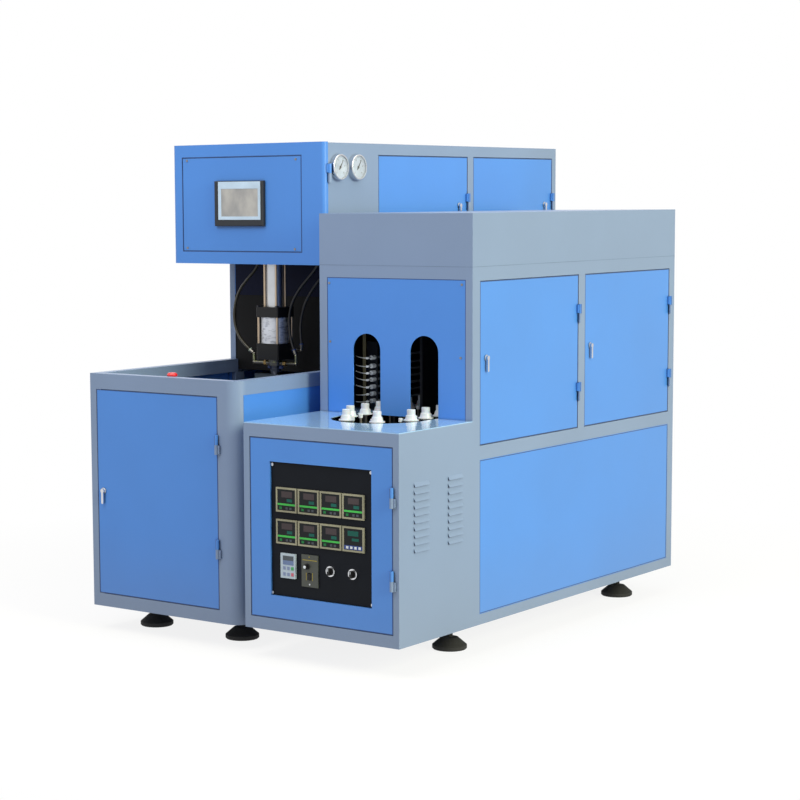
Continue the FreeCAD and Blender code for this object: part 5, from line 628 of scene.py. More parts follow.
class NodeTree:
    """A Geometry Nodes tree with named inputs, which starts from a seed mesh."""

    def __init__(self, name, **inputs):
        self.tree = bpy.data.node_groups.new(name, "GeometryNodeTree")
        self.sockets = {}
        self.tree.interface.new_socket("Seed", in_out="INPUT", socket_type="NodeSocketGeometry")
        for label, value in inputs.items():
            kind = "NodeSocketInt" if isinstance(value, int) else "NodeSocketFloat"
            socket = self.tree.interface.new_socket(label, in_out="INPUT", socket_type=kind)
            socket.default_value = value
            self.sockets[label] = socket.identifier
        self.tree.interface.new_socket("Result", in_out="OUTPUT", socket_type="NodeSocketGeometry")
        outputs = self.tree.nodes.new("NodeGroupInput").outputs
        self.seed = outputs["Seed"]
        self.values = [outputs[label] for label in inputs]
        self.sink = self.tree.nodes.new("NodeGroupOutput")

    def add(self, kind, settings=None, output=0, **inputs):
        """A node with its settings and inputs, as one output; a list holds several links."""
        node = self.tree.nodes.new(kind)
        for key, value in (settings or {}).items():
            setattr(node, key, value)
        for key, value in inputs.items():
            target = node.inputs[int(key[1:]) if key[1:].isdigit() else key.replace("_", " ")]
            for part in value if isinstance(value, list) else [value]:
                if isinstance(part, bpy.types.NodeSocket):
                    self.tree.links.new(part, target)
                else:
                    target.default_value = part
        return node.outputs[output]

    def times(self, one, two):
        """Product of two values."""
        return self.add("ShaderNodeMath", {"operation": "MULTIPLY"}, _0=one, _1=two)

    def lift(self, geometry, height):
        """Geometry moved up by a height."""
        offset = self.add("ShaderNodeCombineXYZ", Z=height)
        return self.add("GeometryNodeTransform", Geometry=geometry, Translation=offset)

    def facing(self, **axes):
        """Rotation that turns one axis, Z unless told, to the direction stored on a seed point."""
        stored = self.add("GeometryNodeInputNamedAttribute", {"data_type": "FLOAT_VECTOR"}, Name="facing")
        return self.add("FunctionNodeAlignRotationToVector", axes or {"axis": "Z"}, Vector=stored)

    def close(self, part, turn, shader, points=None):
        """Set a part on every point, and end the tree in real geometry with its material."""
        spread = self.add("GeometryNodeInstanceOnPoints", Points=points or self.seed, Instance=part,
                          Rotation=turn)
        real = self.add("GeometryNodeRealizeInstances", Geometry=spread)
        painted = self.add("GeometryNodeSetMaterial", Geometry=real, Material=shader.material)
        self.tree.links.new(painted, self.sink.inputs[0])


def grow(name, tree, spots, facing, body, edges=(), **values):
    """Run a tree on seed points and keep the result as one plain mesh piece."""
    seed = bpy.data.meshes.new(name)
    seed.from_pydata([tuple(spot) for spot in spots], edges, [])
    if facing:
        stored = seed.attributes.new("facing", "FLOAT_VECTOR", "POINT")
        for k in range(len(spots)):
            stored.data[k].vector = facing[k] if isinstance(facing, list) else facing
    piece = put(name, seed)
    modifier = piece.modifiers.new("grow", "NODES")
    modifier.node_group = tree.tree
    for label, value in values.items():
        modifier[tree.sockets[label]] = value
    apply_modifiers(piece)
    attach(piece, body)
    return piece


# %% [markdown]
# The fasteners are one recipe: a low prism with a hole sunk into its top. With many sides it is a
# socket head screw, with six it is a nut. A boolean in the tree sinks the hole, so that it has a
# real wall with its own shadow, which a dark dot of paint would not have.

# %% Fasteners


def fastener_tree(name, sides, hole_sides, shader):
    """Tree that sets a low head with a sunk hole on every seed point."""
    tree = NodeTree(name, radius=0.005, height=0.0025, hole=0.45, sunk=0.5)
    radius, height, hole, sunk = tree.values
    head = tree.add("GeometryNodeMeshCylinder", Vertices=sides, Radius=radius, Depth=height)
    drill = tree.add("GeometryNodeMeshCylinder", Vertices=hole_sides, Radius=tree.times(radius, hole),
                     Depth=height)
    raised_drill = tree.lift(drill, tree.times(height, sunk))
    cut = tree.add("GeometryNodeMeshBoolean", {"operation": "DIFFERENCE"}, _0=head, _1=raised_drill)
    tree.close(tree.lift(cut, tree.times(height, 0.5)), tree.facing(), shader)
    return tree


# %% Screws
FRONT, RIGHT_SIDE, UPWARDS, DOWNWARDS = (0, -1, 0), (1, 0, 0), (0, 0, 1), (0, 0, -1)
bright = metal("zinc_screws", rgb(206, 209, 214), 0.3, (6, 6, 6), 0.00002)
dull = metal("dull_screws", rgb(150, 146, 140), 0.42, (6, 6, 6), 0.00002)
screw_tree = fastener_tree("socket_screws", 24, 6, dull)
bright_screw_tree = fastener_tree("panel_screws", 24, 6, bright)
SCREWS = [
    ("head_plate_screws", "head_cover", screw_tree, 545, 0.0045, 0.002,
     ((45, 1828), (596, 1825), (43, 1479), (589, 1478))),
    ("control_panel_screws", "control_door", bright_screw_tree, -38, 0.0058, 0.003,
     ((925, 721), (1362, 722), (921, 252), (1366, 254))),
    ("oven_front_screws", "machine", screw_tree, 422, 0.0045, 0.002,
     ((845, 1356), (1439, 1360), (848, 1135), (1434, 1095))),
    ("speed_plate_screw", "control_door", bright_screw_tree, -43, 0.003, 0.0015, ((1094, 299),)),
]
for name, body, tree, y, radius, height, spots in SCREWS:
    grow(name, tree, [place(x, y, z) for x, z in spots], FRONT, body, radius=radius, height=height)
print("screws:", sum(len(row[-1]) for row in SCREWS))

# %% Nuts on the cylinders' tie rods
oxide = metal("oxide_nuts", rgb(62, 62, 66), 0.4, (6, 6, 6), 0.00002)
nut_tree = fastener_tree("tie_rod_nuts", 6, 24, oxide)
CYLINDER = (367, 700)
NUT_LEVELS = ((95, 1242, UPWARDS), (95, 1031, DOWNWARDS), (58, 1818, UPWARDS))
nut_spots, nut_facing = [], []
for pitch, height, way in NUT_LEVELS:
    for dx in (-pitch / 2, pitch / 2):
        for dy in (-pitch / 2, pitch / 2):
            nut_spots.append(place(CYLINDER[0] + dx, CYLINDER[1] + dy, height))
            nut_facing.append(way)
grow("cylinder_nuts", nut_tree, nut_spots, nut_facing, "machine", radius=0.0085, height=0.006, hole=0.55)
print("tie rod nuts:", len(nut_spots))

# %% [markdown]
# ## Blocks in many materials
# Windows, keys and bezels are small flat blocks. One piece may hold several materials, each with
# its own list of blocks, and a bevel modifier softens every edge. Most of them stand proud of a
# front face, so they are given by that face, their thickness and their four sides.

# %% Block pieces


def add_block(bm, x0, x1, y0, y1, z0, z1):
    """Add a block between two drawing corners."""
    low, high = place(x0, y0, z0), place(x1, y1, z1)
    centre, size = (low + high) / 2, high - low
    matrix = Matrix.Translation(centre) @ Matrix.Diagonal((*size, 1))
    bmesh.ops.create_cube(bm, size=1, matrix=matrix)


def raised(face, thick, x0, x1, z0, z1):
    """Limits of a block that stands proud of a front face."""
    return x0, x1, face - thick, face, z0, z1


def block_piece(name, body, groups, bevel):
    """One mesh of bevelled blocks; groups pairs a material with its blocks."""
    bm = bmesh.new()
    for index, (shader, blocks) in enumerate(groups):
        before = len(bm.faces)
        for limits in blocks:
            add_block(bm, *limits)
        bm.faces.ensure_lookup_table()
        for face in bm.faces[before:]:
            face.material_index = index
    finish_mesh(name, bm, [shader for shader, blocks in groups], body, bevel)


# %% [markdown]
# ## Touch panel
# The pale inner frame stands a little proud of the black bezel, and the screen lies behind it.
# The machine is switched off, so the screen is no glowing picture but a grey glass under a film.
# The room's soft, uneven reflections in it are painted into its colour with a broad noise.

# %% Touch panel
pale_frame = rough_skin("panel_frame_pale", rgb(180, 202, 228), 0.36, 700.0, 0.00004)
screen_glass = Shader("touch_screen", rgb(128, 134, 142), 0.16)
film = screen_glass.noise(13.0, 3.0, (1, 1, 0.7))
# Noise varies the screen's grey: painted reflection of the room; it also varies the film's roughness.
screen_glass.mottle(film.clamp(0.35, 0.68), rgb(134, 136, 141), rgb(174, 173, 174))
screen_glass.set(Roughness=film * 0.2 + 0.06, Coat_Weight=0.8, Coat_Roughness=0.05)
BEZEL_Y = 529
SCREEN = x0, x1, z0, z1 = 234, 420, 1605, 1714
FRAME_OUT = fx0, fx1, fz0, fz1 = 219, 432, 1592, 1742
frame_bars = ((fx0, fx1, z1, fz1), (fx0, fx1, fz0, z0), (fx0, x0, z0, z1), (x1, fx1, z0, z1))
block_piece("touch_panel_face", "head_cover", [
    (pale_frame, [raised(BEZEL_Y, 1.6, *bar) for bar in frame_bars]),
    (screen_glass, [raised(BEZEL_Y, 0.7, *SCREEN)])], 0.0003)
print("screen of", SCREEN[1] - SCREEN[0], "by", SCREEN[3] - SCREEN[2], "mm in a frame of",
      FRAME_OUT[1] - FRAME_OUT[0], "by", FRAME_OUT[3] - FRAME_OUT[2], "mm")

# %% [markdown]
# ## Temperature controllers
# Behind each khaki bezel lies a black mask with a dull red window for the measured value, a
# green-blue one for the set value, a bright green line and a row of small keys. The last unit is
# a timer with a larger window and pale keys on a blue band. A controller's face is a short list
# of windows measured from its middle, so all eight come from two lists.

# %% Controller faces
mask_black = rough_skin("mask_black", rgb(18, 22, 26), 0.3, 900.0, 0.00003, 0.2)
dull_red = rough_skin("window_dull_red", rgb(66, 58, 62), 0.22, 900.0, 0.00002, 0.2)
teal = rough_skin("window_teal", rgb(20, 88, 80), 0.25, 900.0, 0.00002, 0.2)
line_green = rough_skin("line_green", rgb(64, 176, 78), 0.4, 900.0, 0.00002, 0.3)
key_dim = rough_skin("key_dim_green", rgb(34, 110, 62), 0.5, 900.0, 0.00003, 0.2)
key_grey = rough_skin("key_grey", rgb(64, 70, 80), 0.5, 900.0, 0.00003, 0.3)
key_white = rough_skin("key_white", rgb(208, 216, 230), 0.45, 900.0, 0.00003)
band_blue = rough_skin("band_blue", rgb(34, 58, 128), 0.4, 900.0, 0.00002)
FACE_Y = -44
COLUMNS, ROWS = (991.5, 1090.5, 1189.0, 1287.5), (596, 480)
MASK = (mask_black, 0.4, -40, 40, -38, 38)
CONTROLLER = [MASK, (dull_red, 1, -22, 26, 9, 31), (teal, 1, 2, 26, -7, 4),
              (line_green, 0.8, -40, 40, -20, -13), (key_dim, 1.6, -31, -20, -34, -25),
              (key_grey, 1.6, -3, 7, -34, -26), (key_grey, 1.6, 14, 24, -34, -26)]
TIMER = [MASK, (teal, 1, -24, 22, 12, 30), (teal, 1, -6, 24, -6, 4), (band_blue, 0.8, -40, 40, -37, -22),
         *[(key_white, 1.6, left, left + 10, -34, -25) for left in (-31, -13, 5, 23)]]

windows = {shader: [] for shader in
           (mask_black, dull_red, teal, line_green, key_dim, key_grey, band_blue, key_white)}
for cz in ROWS:
    for cx in COLUMNS:
        last = (cx, cz) == (COLUMNS[-1], ROWS[-1])
        for shader, thick, left, right, low, high in TIMER if last else CONTROLLER:
            windows[shader].append(raised(FACE_Y, thick, cx + left, cx + right, cz + low, cz + high))
block_piece("controller_faces", "control_door", list(windows.items()), 0.0003)
print("controller windows and keys:", sum(len(blocks) for blocks in windows.values()))

# %% [markdown]
# ## Keypad, speed plate and selectors
# The keypad has a dark display and six keys, one green and one red. The speed plate carries a
# knob with a pale cap, a rocker between two yellow marks, and a yellow line over them; the cap's
# white is a painted highlight, standing for the glint on the knob. Each selector has a pale pointer
# on its grip, which rides on the knob and turns with it. Print and keys could be painted on, but as
# thin blocks they catch the light along their edges.

# %% Keypad and speed plate details
key_green = rough_skin("key_green", rgb(60, 152, 92), 0.45, 900.0, 0.00003)
key_red = rough_skin("key_red", rgb(186, 92, 116), 0.45, 900.0, 0.00003)
key_blue = rough_skin("key_blue_grey", rgb(120, 134, 172), 0.45, 900.0, 0.00003)
display = rough_skin("keypad_display", rgb(74, 82, 92), 0.25, 900.0, 0.00002, 0.3)
display_band = rough_skin("keypad_band", rgb(96, 116, 160), 0.3, 900.0, 0.00002)
yellow = rough_skin("plate_yellow", rgb(150, 134, 44), 0.5, 900.0, 0.00001)
PAD_Y, PLATE_Y = -47, -43
pad_keys = [raised(PAD_Y, 1.4, x - 5.5, x + 5.5, z - 6, z + 6) for z in (349, 327) for x in (983, 1001, 1019)]
block_piece("keypad_face", "control_door", [
    (display, [raised(PAD_Y, 0.8, 976, 1024, 377, 394)]),
    (display_band, [raised(PAD_Y, 0.7, 976, 1024, 361, 377)]),
    (key_blue, pad_keys[:2] + pad_keys[3:5]), (key_green, [pad_keys[2]]), (key_red, [pad_keys[5]])], 0.0004)
block_piece("speed_plate_marks", "control_door", [
    (yellow, [raised(PLATE_Y, 0.3, 1062, 1126, 385, 387.5), raised(PLATE_Y, 0.3, 1077, 1079.5, 313, 341),
              raised(PLATE_Y, 0.3, 1105, 1107.5, 313, 341), raised(PLATE_Y, 1.2, 1090, 1094, 396, 400)])],
            0.0001)
print("keys on the keypad:", len(pad_keys))

# %% Knob cap and selector pointers
KNOB_X, KNOB_Z = 1082.5, 363
CAP_RADIUS, CAP_THICK, CAP_GAP = 0.0058, 0.0012, 0.0002
cap_spot = place(KNOB_X, 0, KNOB_Z)
cap_spot.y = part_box("speed_knob")[0][1] + CAP_GAP
DOME_SHARES = ((0, 1), (0.6, 0.94), (0.9, 0.7), (1, 0.3), (1, 0), (0, 0))
dome = [(CAP_RADIUS * r, CAP_THICK * h) for r, h in DOME_SHARES]
# The knob's pale cap is a painted highlight: its white stands for the glint on the knob.
lathe("speed_knob_highlight_cap", cap_spot, FRONT, dome, 32, key_white, "speed_knob")
for side, x in (("left", 1186.5), ("right", 1284.0)):
    grip = (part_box("selector_knob_" + side)[0][1] - SHIFT.y) * 1000
    block_piece("selector_pointer_" + side, "selector_knob_" + side, [
        (key_white, [(x - 1.2, x + 1.2, grip - 0.3, grip + 0.4, 358, 368)])], 0.0002)
    print(side, "selector's grip starts at Y", round(grip, 1))

# %% [markdown]
# ## Gauges
# Each gauge has a white dial with fifty fine divisions, longer ticks at every fifth and plain
# numbers, and a slightly domed glass. The dial could be a picture, but real ticks stay sharp at
# any distance, so a node tree instances them round the dial.

# %% Dials, ticks and glasses
dial_white = rough_skin("dial_white", rgb(214, 222, 238), 0.5, 400.0, 0.00002)
ink = rough_skin("dial_ink", rgb(26, 28, 32), 0.5, 900.0, 0.00001)
clear = Shader("gauge_glass", rgb(245, 248, 250), 0.03)
clear.set(Transmission_Weight=1.0, IOR=1.45, Roughness=clear.noise(30.0, 2.0) * 0.03 + 0.01)
GAUGES = {"blow": 628, "supply": 747}
DIAL_X, DIAL_Z, SWEEP = 748, 1793, 270
GLASS_OUT = 5.5
GLASS = [(0, 0.0022), (0.018, 0.0019), (0.034, 0.0012), (0.0437, 0.0), (0.0437, -0.0008), (0.034, 0.0002),
         (0.018, 0.0009), (0, 0.0012)]
TICKS = {"fine": (39.5, 51, 0.0004, 0.003), "coarse": (38, 11, 0.0009, 0.006)}


def dial_spots(y, radius, count):
    """Points round a dial with the direction of each from its middle."""
    spots, ways = [], []
    for k in range(count):
        a = math.radians(90 + SWEEP / 2 - SWEEP * k / (count - 1))
        spots.append(place(DIAL_X + 0.3, y + radius * math.cos(a), DIAL_Z + radius * math.sin(a)))
        ways.append((0, math.cos(a), math.sin(a)))
    return spots, ways


tick_tree = NodeTree("dial_ticks", width=0.0006, length=0.004)
width, length = tick_tree.values
size = tick_tree.add("ShaderNodeCombineXYZ", X=width, Y=0.0002, Z=length)
tick = tick_tree.add("GeometryNodeMeshCube", Size=size)
flat_on = tick_tree.add("FunctionNodeAlignRotationToVector", {"axis": "Y", "pivot_axis": "Z"},
                        Rotation=tick_tree.facing(), Vector=RIGHT_SIDE)
tick_tree.close(tick, flat_on, ink)

for side, y in GAUGES.items():
    back, front = place(DIAL_X - 0.2, y, DIAL_Z), place(DIAL_X + GLASS_OUT, y, DIAL_Z)
    disc("gauge_dial_" + side, back, RIGHT_SIDE, 0.0436, 0.0004, dial_white, "machine")
    for kind, (radius, count, width, length) in TICKS.items():
        name = "gauge_%s_ticks_%s" % (kind, side)
        grow(name, tick_tree, *dial_spots(y, radius, count), "machine", width=width, length=length)
    lathe("gauge_glass_" + side, front, RIGHT_SIDE, GLASS, 48, clear, "machine")

# %% Dial numbers
NUMBER_RADIUS, NUMBER_SIZE = 30, 0.0085
upright = Matrix(((0, 0, 1), (1, 0, 0), (0, 1, 0))).to_4x4()
for side, y in GAUGES.items():
    spots, ways = dial_spots(y, NUMBER_RADIUS, 6)
    for k, spot in enumerate(spots):
        words = bpy.data.curves.new("number", "FONT")
        words.body = str(2 * k)
        words.size = NUMBER_SIZE
        words.extrude = 0.00008
        words.align_x = "CENTER"
        words.align_y = "CENTER"
        figure = put("number", words)
        bpy.context.view_layer.update()
        mesh = bpy.data.meshes.new_from_object(figure.evaluated_get(bpy.context.evaluated_depsgraph_get()))
        bpy.data.objects.remove(figure)
        mesh.transform(Matrix.Translation(spot) @ upright)
        mesh.materials.clear()
        mesh.materials.append(ink.material)
        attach(put("gauge_number_%s_%d" % (side, 2 * k), mesh), "machine")
print("dials finished:", len(GAUGES))

# %% [markdown]
# ## Lamp terminals and wires
# In front of every lamp sits a small white terminal on a steel pin, and a white wire bows from it
# to the wall of the oven. A tan insulating bar stands behind the wires. The bow is one quadratic
# curve with a round profile, instanced on the lamps with a small seeded turn so that no two hang
# alike.

# %% Lamp wires
MIDDLE_X, LAMP_OUT = 1146, 207
LAMP_LEVELS = (1068, 1036, 1010, 984, 956, 929, 902)
LAMP_FRONT, PIN_LENGTH, WIRE_START = 560, 19, 8
wire_white = rough_skin("wire_sleeve", rgb(206, 208, 206), 0.6, 500.0, 0.0001)
wire_tree = NodeTree("lamp_wires", reach=0.06, sag=0.003, radius=0.0018, seed=3)
reach, sag, radius, seed = wire_tree.values
middle = wire_tree.add("ShaderNodeCombineXYZ", X=wire_tree.times(reach, -0.45), Y=-0.006,
                       Z=wire_tree.times(sag, -1.0))
far = wire_tree.add("ShaderNodeCombineXYZ", X=wire_tree.times(reach, -1.0), Y=0.012, Z=0.0)
bow = wire_tree.add("GeometryNodeCurveQuadraticBezier", Resolution=12, Start=(0, 0, 0), Middle=middle,
                    End=far)
ring = wire_tree.add("GeometryNodeCurvePrimitiveCircle", Resolution=8, Radius=radius)
wire = wire_tree.add("GeometryNodeCurveToMesh", Curve=bow, Profile_Curve=ring, Fill_Caps=True)
swing = wire_tree.add("FunctionNodeRandomValue", {"data_type": "FLOAT"}, 1, _2=-0.13, _3=0.13, Seed=seed)
wire_tree.close(wire, wire_tree.add("ShaderNodeCombineXYZ", Y=swing), wire_white)

wire_y = LAMP_FRONT - PIN_LENGTH - WIRE_START
for side, way, reach, seed in (("left", -1, 0.06, 3), ("right", 1, -0.05, 8)):
    wire_ends = [place(MIDDLE_X + way * LAMP_OUT, wire_y, z) for z in LAMP_LEVELS]
    grow("lamp_wires_" + side, wire_tree, wire_ends, FRONT, "machine", reach=reach, seed=seed)
print("lamp wires:", 2 * len(LAMP_LEVELS))

# %% Lamp terminals
terminal_white = rough_skin("terminal_white", rgb(232, 236, 240), 0.4, 500.0, 0.00004)
terminal_tree = fastener_tree("lamp_terminals", 20, 12, terminal_white)
pin_tree = fastener_tree("lamp_pins", 12, 6, dull)
lamp_ends = [place(MIDDLE_X + way * LAMP_OUT, LAMP_FRONT, z) for way in (-1, 1) for z in LAMP_LEVELS]
pin_tips = [end - Vector((0, PIN_LENGTH / 1000, 0)) for end in lamp_ends]
grow("lamp_pins", pin_tree, lamp_ends, FRONT, "machine", radius=0.0016, height=PIN_LENGTH / 1000, hole=0.2,
     sunk=0.9)
grow("lamp_terminals", terminal_tree, pin_tips, FRONT, "machine", radius=0.0044, height=0.010, hole=0.4,
     sunk=0.8)
tan_bar = rough_skin("insulating_bar", rgb(104, 98, 74), 0.7, 160.0, 0.0002)
block_piece("terminal_bars", "machine", [
    (tan_bar, [(x, x + 12, 572, 578, 868, 1180) for x in (891, 1389)])], 0.0008)
print("lamp terminals:", len(pin_tips))

# %% [markdown]
# ## Chain plates
# The solids show the chain as plain carrier links. Oval side plates with their pins are added on
# top, at the real pitch of 15.875 mm: a polyline round the loop becomes a curve, is resampled at
# the pitch, and every point gets a plate turned to the curve's tangent. A loop in Python could
# place them too, but the curve keeps the pitch even where the straight runs meet the turns.

# %% The chain's loop
LOOP_FRONT, LOOP_REAR, LOOP_RADIUS, CHAIN_TOP, TURN_STEPS = 326, 1754.75, 90.956, 818, 24


def loop_spot(side, end, angle, radius, run, height):
    """Point of the loop by its half, its wheel's middle, the angle and the run along the straight."""
    x = MIDDLE_X + side * radius * math.cos(angle)
    return place(x, end - side * (radius * math.sin(angle) - run), height)


HALVES = ((1, LOOP_FRONT), (-1, LOOP_REAR))
loop_points = [loop_spot(side, end, math.pi * k / TURN_STEPS, LOOP_RADIUS, 0, CHAIN_TOP)
               for side, end in HALVES for k in range(TURN_STEPS + 1)]
loop_edges = [(k, (k + 1) % len(loop_points)) for k in range(len(loop_points))]
print("the loop has", len(loop_edges), "edges")

# %% Chain plates
chain_steel = metal("chain_plate_steel", rgb(120, 118, 114), 0.36, (6, 6, 6), 0.00004)
chain_tree = NodeTree("chain_plates", pitch=0.015875, thick=0.0012)
pitch, thick = chain_tree.values
line = chain_tree.add("GeometryNodeMeshToCurve", Mesh=chain_tree.seed)
steps = chain_tree.add("GeometryNodeResampleCurve", {"mode": "LENGTH"}, Curve=line, Length=pitch)
heading = chain_tree.add("FunctionNodeAlignRotationToVector", {"axis": "X", "pivot_axis": "Z"},
                         Vector=chain_tree.add("GeometryNodeInputTangent"))
plate = chain_tree.add("GeometryNodeMeshCylinder", Vertices=16, Radius=0.5, Depth=thick)
oval = chain_tree.add("ShaderNodeCombineXYZ", X=chain_tree.times(pitch, 1.25), Y=0.0072, Z=1.0)
flat = chain_tree.add("GeometryNodeTransform", Geometry=plate, Scale=oval, Translation=(0, 0, 0.0006))
pin = chain_tree.add("GeometryNodeMeshCylinder", Vertices=12, Radius=0.0021, Depth=0.003)
pin_up = chain_tree.add("GeometryNodeTransform", Geometry=pin, Translation=(0.0075, 0, 0.0012))
link = chain_tree.add("GeometryNodeJoinGeometry", Geometry=[flat, pin_up])
chain_tree.close(link, heading, chain_steel, steps)
plates = grow("chain_plates", chain_tree, loop_points, None, "machine", loop_edges)
print("chain plates have", len(plates.data.vertices), "points")

# %% [markdown]
# ## Mandrel heads
# A head is one turned piece: a straight neck that the preform slips over, a shoulder, a skirt that
# widens downwards and a thin flange. Its small guide roller stands on a stud behind it. One tree
# stacks the steps of both as short cones and sets the pair on every spindle of the chain. A
# curve turned round an axis would give the profile too, but a cone for each step keeps the sharp
# edges of turned plastic, and its sizes stay named inputs.

# %% Mandrel heads
HEAD_BASE, ROLLER_LOW, ROLLER_FOOT = 867, 815, -0.005
HEAD_PITCH, HEAD_REACH, TURN_HEADS, RUN_HEADS = 95.25, 45.5, 3, 15
STUD = (-0.033, -0.020)
head_tree = NodeTree("mandrel_heads", neck=0.0155, skirt=0.0225, flange=0.0285, neck_height=0.0185)
neck, skirt, flange, neck_height = head_tree.values
HEAD_STEPS = [
    (flange, flange, 0, 0.0042), (skirt, 0.0188, 0.0042, 0.016), (0.0186, neck, 0.0202, 0.0013),
    (neck, neck, 0.0215, neck_height), (neck, 0.0142, 0.040, 0.0011),
    (0.008, 0.008, ROLLER_FOOT, 0.013, STUD), (0.008, 0.007, 0.008, 0.001, STUD)]


def turned_step(bottom, top, lift, depth, aside=(0, 0)):
    """One short cone of a turned piece, at its height over the head's base."""
    cone = head_tree.add("GeometryNodeMeshCone", Vertices=36, Radius_Bottom=bottom, Radius_Top=top,
                         Depth=depth)
    return head_tree.add("GeometryNodeTransform", Geometry=cone, Translation=(*aside, lift))


pair = head_tree.add("GeometryNodeJoinGeometry", Geometry=[turned_step(*step) for step in HEAD_STEPS])
head_tree.close(pair, head_tree.facing(axis="X", pivot_axis="Z"), white)

head_spots, head_ways, stud_spots = [], [], []
stud_drop = (ROLLER_LOW - HEAD_BASE) / 1000
for side, end in HALVES:
    for k in range(TURN_HEADS + RUN_HEADS):
        a, run = math.pi * min(k / TURN_HEADS, 1), max(k - TURN_HEADS, 0) * HEAD_PITCH
        spot = loop_spot(side, end, a, LOOP_RADIUS + HEAD_REACH, run, HEAD_BASE)
        hx, hy = side * math.cos(a), -side * math.sin(a)
        head_spots.append(spot)
        head_ways.append((hx, hy, 0))
        stud_x, stud_y = STUD[0] * hx - STUD[1] * hy, STUD[0] * hy + STUD[1] * hx
        stud_spots.append(spot + Vector((stud_x, stud_y, stud_drop)))
heads = grow("turned_heads", head_tree, head_spots, head_ways, "machine")
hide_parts("mandrel_heads")
grow("roller_studs", pin_tree, stud_spots, UPWARDS, "machine", radius=0.005, height=ROLLER_FOOT - stud_drop,
     hole=0.2, sunk=0.9)
print("mandrel heads:", len(head_spots))

# %% [markdown]
# ## Small door and pipe parts
# Every latch turns in a round collar, and each hose has a brass nut at its gland and a coloured
# push-in ring at its lower end. The two manifold ports have both. These are plain turned rings, so
# the disc and sleeve helpers make them.

# %% Latch collars
latches = {"front_door": ((62, -0.5, 552), FRONT)}
for kind, skin, reach, height in (("upper_door_", 734.5, 586, 1640), ("oven_door_", 1485.5, 40, 1092)):
    for end in ("front", "rear"):
        near_edge = PANELS[kind + end][1]
        latches[kind + end] = ((skin, near_edge + reach, height), RIGHT_SIDE)
for door, (spot, way) in latches.items():
    disc("latch_collar_" + door, place(*spot), way, 0.0115, 0.0014, bright, door)
print("latches:", len(latches))

# %% Hose fittings
brass = metal("brass_fitting", rgb(186, 150, 92), 0.28, (4, 4, 12), 0.00002)
ring_blue = rough_skin("push_ring_blue", rgb(40, 60, 116), 0.4, 900.0, 0.00002)
ring_pale = rough_skin("push_ring_pale", rgb(170, 190, 176), 0.4, 900.0, 0.00002)
NUT_DROP, RING_GAP = 0.0085, 0.0005
for side, route in HOSE_ROUTES.items():
    end, before = place(*route[-1]), place(*route[-2])
    way = (before - end).normalized()
    ring_coat = ring_pale if side == "left" else ring_blue
    sleeve("push_ring_" + side, end + way * RING_GAP, way, 0.0062, 0.0088, 0.004, ring_coat)
    gland = place(*route[0]) - Vector((0, 0, NUT_DROP))
    sleeve("gland_nut_" + side, gland, UPWARDS, 0.0062, 0.0105, 0.008, brass, 6)

RING_Z, NUT_Z = 993, 1015
for side, x in (("left", 339), ("right", 395)):
    ring_spot = place(x, CYLINDER[1], RING_Z)
    sleeve("manifold_ring_" + side, ring_spot, UPWARDS, 0.0045, 0.0095, 0.0128, ring_blue)
for side, x in (("left", 312), ("right", 410)):
    nut_spot = place(x, CYLINDER[1], NUT_Z)
    sleeve("manifold_nut_" + side, nut_spot, RIGHT_SIDE, 0.0065, 0.0115, 0.012, brass, 6)
print("hose ends fitted:", len(HOSE_ROUTES))

# %% [markdown]
# The frame's right front corner is a round bend, but on the left the two sheets meet in a square
# corner post. The solids have the round bend on both sides, so a post is set against the left one:
# it fills the corner out to the cabinet's front and side, and is wider above and below the door.
# Its inner side follows the bend as an arc, sunk a little into it so that no gap shows. Thin
# dark strips run under the hood, where its folded edge meets the frame: painted shadow in the joint.

# %% Corner post
BEND, POST_SINK = 55, 0.6
POST_LOW, DOOR_LOW, DOOR_HIGH, POST_HIGH = 96, 147.4, 946.6, 1008
POST_PARTS = ((30.6, 39.4, DOOR_LOW, DOOR_HIGH), (BEND, BEND, POST_LOW, DOOR_LOW),
              (BEND, BEND, DOOR_HIGH, POST_HIGH))
post = bmesh.new()
bend = BEND - POST_SINK
for width, depth, low, high in POST_PARTS:
    start, end = math.acos((BEND - width) / bend), math.asin((BEND - depth) / bend)
    arc = [start + (end - start) * k / 12 for k in range(13)]
    outline = [(0, 0), (width, 0), *[(BEND - bend * math.cos(a), BEND - bend * math.sin(a)) for a in arc],
               (0, depth)]
    rings = [[post.verts.new(place(x, y, z)) for x, y in outline] for z in (low, high)]
    post.faces.new(rings[0])
    post.faces.new(rings[1])
    bridge(post, rings)
finish_mesh("corner_post", post, [grey_coat], "machine")
print("corner post parts:", len(POST_PARTS))

# %% Hood joint shadow
# Thin strips in a darker grey under the hood's folded edge: painted shadow.
joint_shadow_paint = rough_skin("joint_shadow", rgb(104, 121, 150), 0.7, 500.0, 0.00002, 0.2)
HOOD_LEFT, HOOD_RIGHT, HOOD_FRONT, HOOD_REAR = 800, 1485, 421, 1986
JOINT_LOW, JOINT_HIGH, JOINT_PROUD = 1423.2, 1424.8, 0.25
joint_strips = [
    (HOOD_LEFT, HOOD_RIGHT, HOOD_FRONT - JOINT_PROUD, HOOD_FRONT),
    (HOOD_LEFT, HOOD_RIGHT, HOOD_REAR, HOOD_REAR + 0.2),
    (HOOD_RIGHT, HOOD_RIGHT + JOINT_PROUD, HOOD_FRONT, HOOD_REAR),
    (HOOD_LEFT - JOINT_PROUD, HOOD_LEFT, HOOD_FRONT, HOOD_REAR)]
joint_blocks = [(*strip, JOINT_LOW, JOINT_HIGH) for strip in joint_strips]
block_piece("hood_joint", "machine", [(joint_shadow_paint, joint_blocks)], 0)
print("hood joint strips:", len(joint_blocks))

# %% [markdown]
# ## The studio
# A pale floor, a white surround and five soft lamps. A picture of a room could light the machine,
# but lamps can be set one by one. The big one stands to the right, because the machine's long side
# is its brighter face, and a very small one lights the lamp ends in the left arch. Far from the
# machine the floor blends into pure white for the camera, so no horizon shows, while near it the
# real shadow stays.

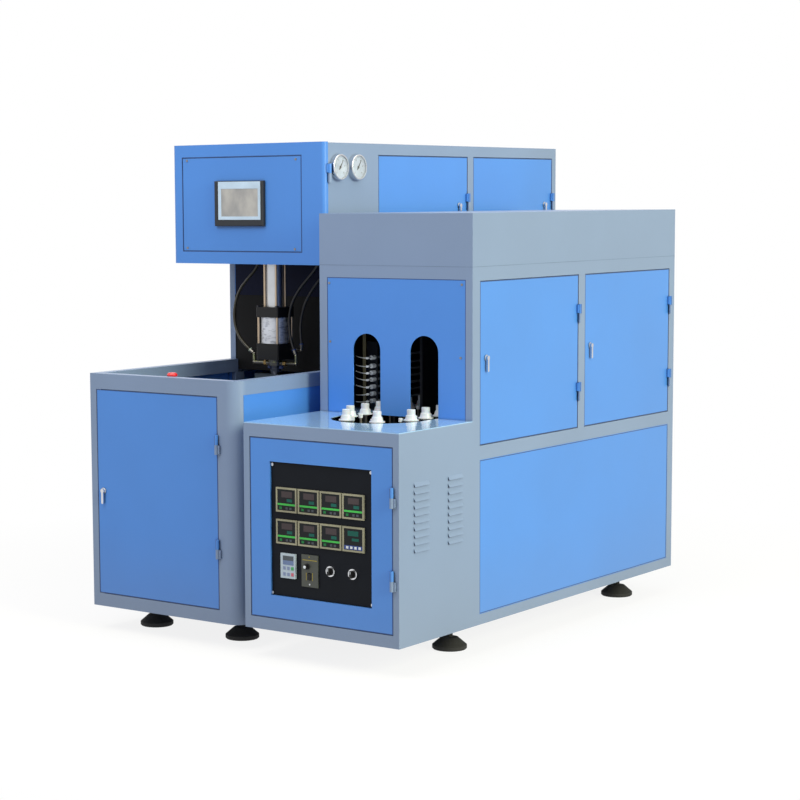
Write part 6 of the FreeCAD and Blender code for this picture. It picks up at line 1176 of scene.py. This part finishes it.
# %% Floor
SHADOW_SHARE = 0.15
floor_mesh = bpy.data.meshes.new("studio_floor")
bm = bmesh.new()
bmesh.ops.create_grid(bm, x_segments=1, y_segments=1, size=40)
bm.to_mesh(floor_mesh)
bm.free()
floor = put("studio_floor", floor_mesh)
floor_mesh.transform(Matrix.Translation((0, 0, -0.0005)))
pale = Shader("studio_white", (0.9, 0.9, 0.9, 1), 0.9).set(Specular_IOR_Level=0.1)
away = pale.add("ShaderNodeVectorMath", {"operation": "LENGTH"}, {0: pale.here}, "Value").clamp(1.7, 3.0)
direct = pale.seen()
pale.mottle(direct, (0.5, 0.5, 0.5, 1), (0.92, 0.92, 0.92, 1))
white_out = pale.add("ShaderNodeEmission", {}, {"Color": (1, 1, 1, 1), "Strength": 1.0}, "Emission")
pale.cover(direct * (away * SHADOW_SHARE + (1 - SHADOW_SHARE)), white_out)
floor_mesh.materials.append(pale.material)

# %% World
world = bpy.data.worlds.new("studio_world")
bpy.context.scene.world = world
world.use_nodes = True
background = world.node_tree.nodes["Background"]
background.inputs["Color"].default_value = (1, 1, 1, 1)
sky = Maths(world.node_tree)
glow = sky.add("ShaderNodeMapRange", {}, {"Value": sky.seen(), "To Min": 0.5, "To Max": 1.0})
sky.feed(background.inputs["Strength"], glow)
print("floor and world set")

# %% Lamps


def softbox(name, where, target, size, power, colour):
    """Square area lamp that looks at a point."""
    data = bpy.data.lights.new(name, "AREA")
    data.size = size
    data.energy = power
    data.color = colour
    box = put(name, data)
    box.location = where
    box.rotation_euler = (Vector(target) - Vector(where)).to_track_quat("-Z", "Y").to_euler()


softbox("side_softbox", (12.0, -1.5, 5.5), (0, 0, 1.2), 6.0, 1700, (1.0, 0.985, 0.68))
softbox("front_softbox", (-0.8, -3.7, 4.7), (0, 0, 1.3), 2.5, 125, (1.0, 0.95, 0.84))
softbox("hood_softbox", (0.72, 0.3, 3.1), (0.1, 0.4, 1.7), 0.8, 4, (1.0, 0.88, 0.6))
softbox("top_softbox", (0.5, -0.5, 6.5), (0, 0, 0.9), 4.0, 135, (1.0, 0.98, 0.93))
softbox("arch_fill", place(1030, 434, 1030), place(945, 560, 990), 0.08, 0.12, (0.94, 0.97, 1.0))
bpy.context.scene.view_settings.view_transform = "Standard"
print("lamps set")
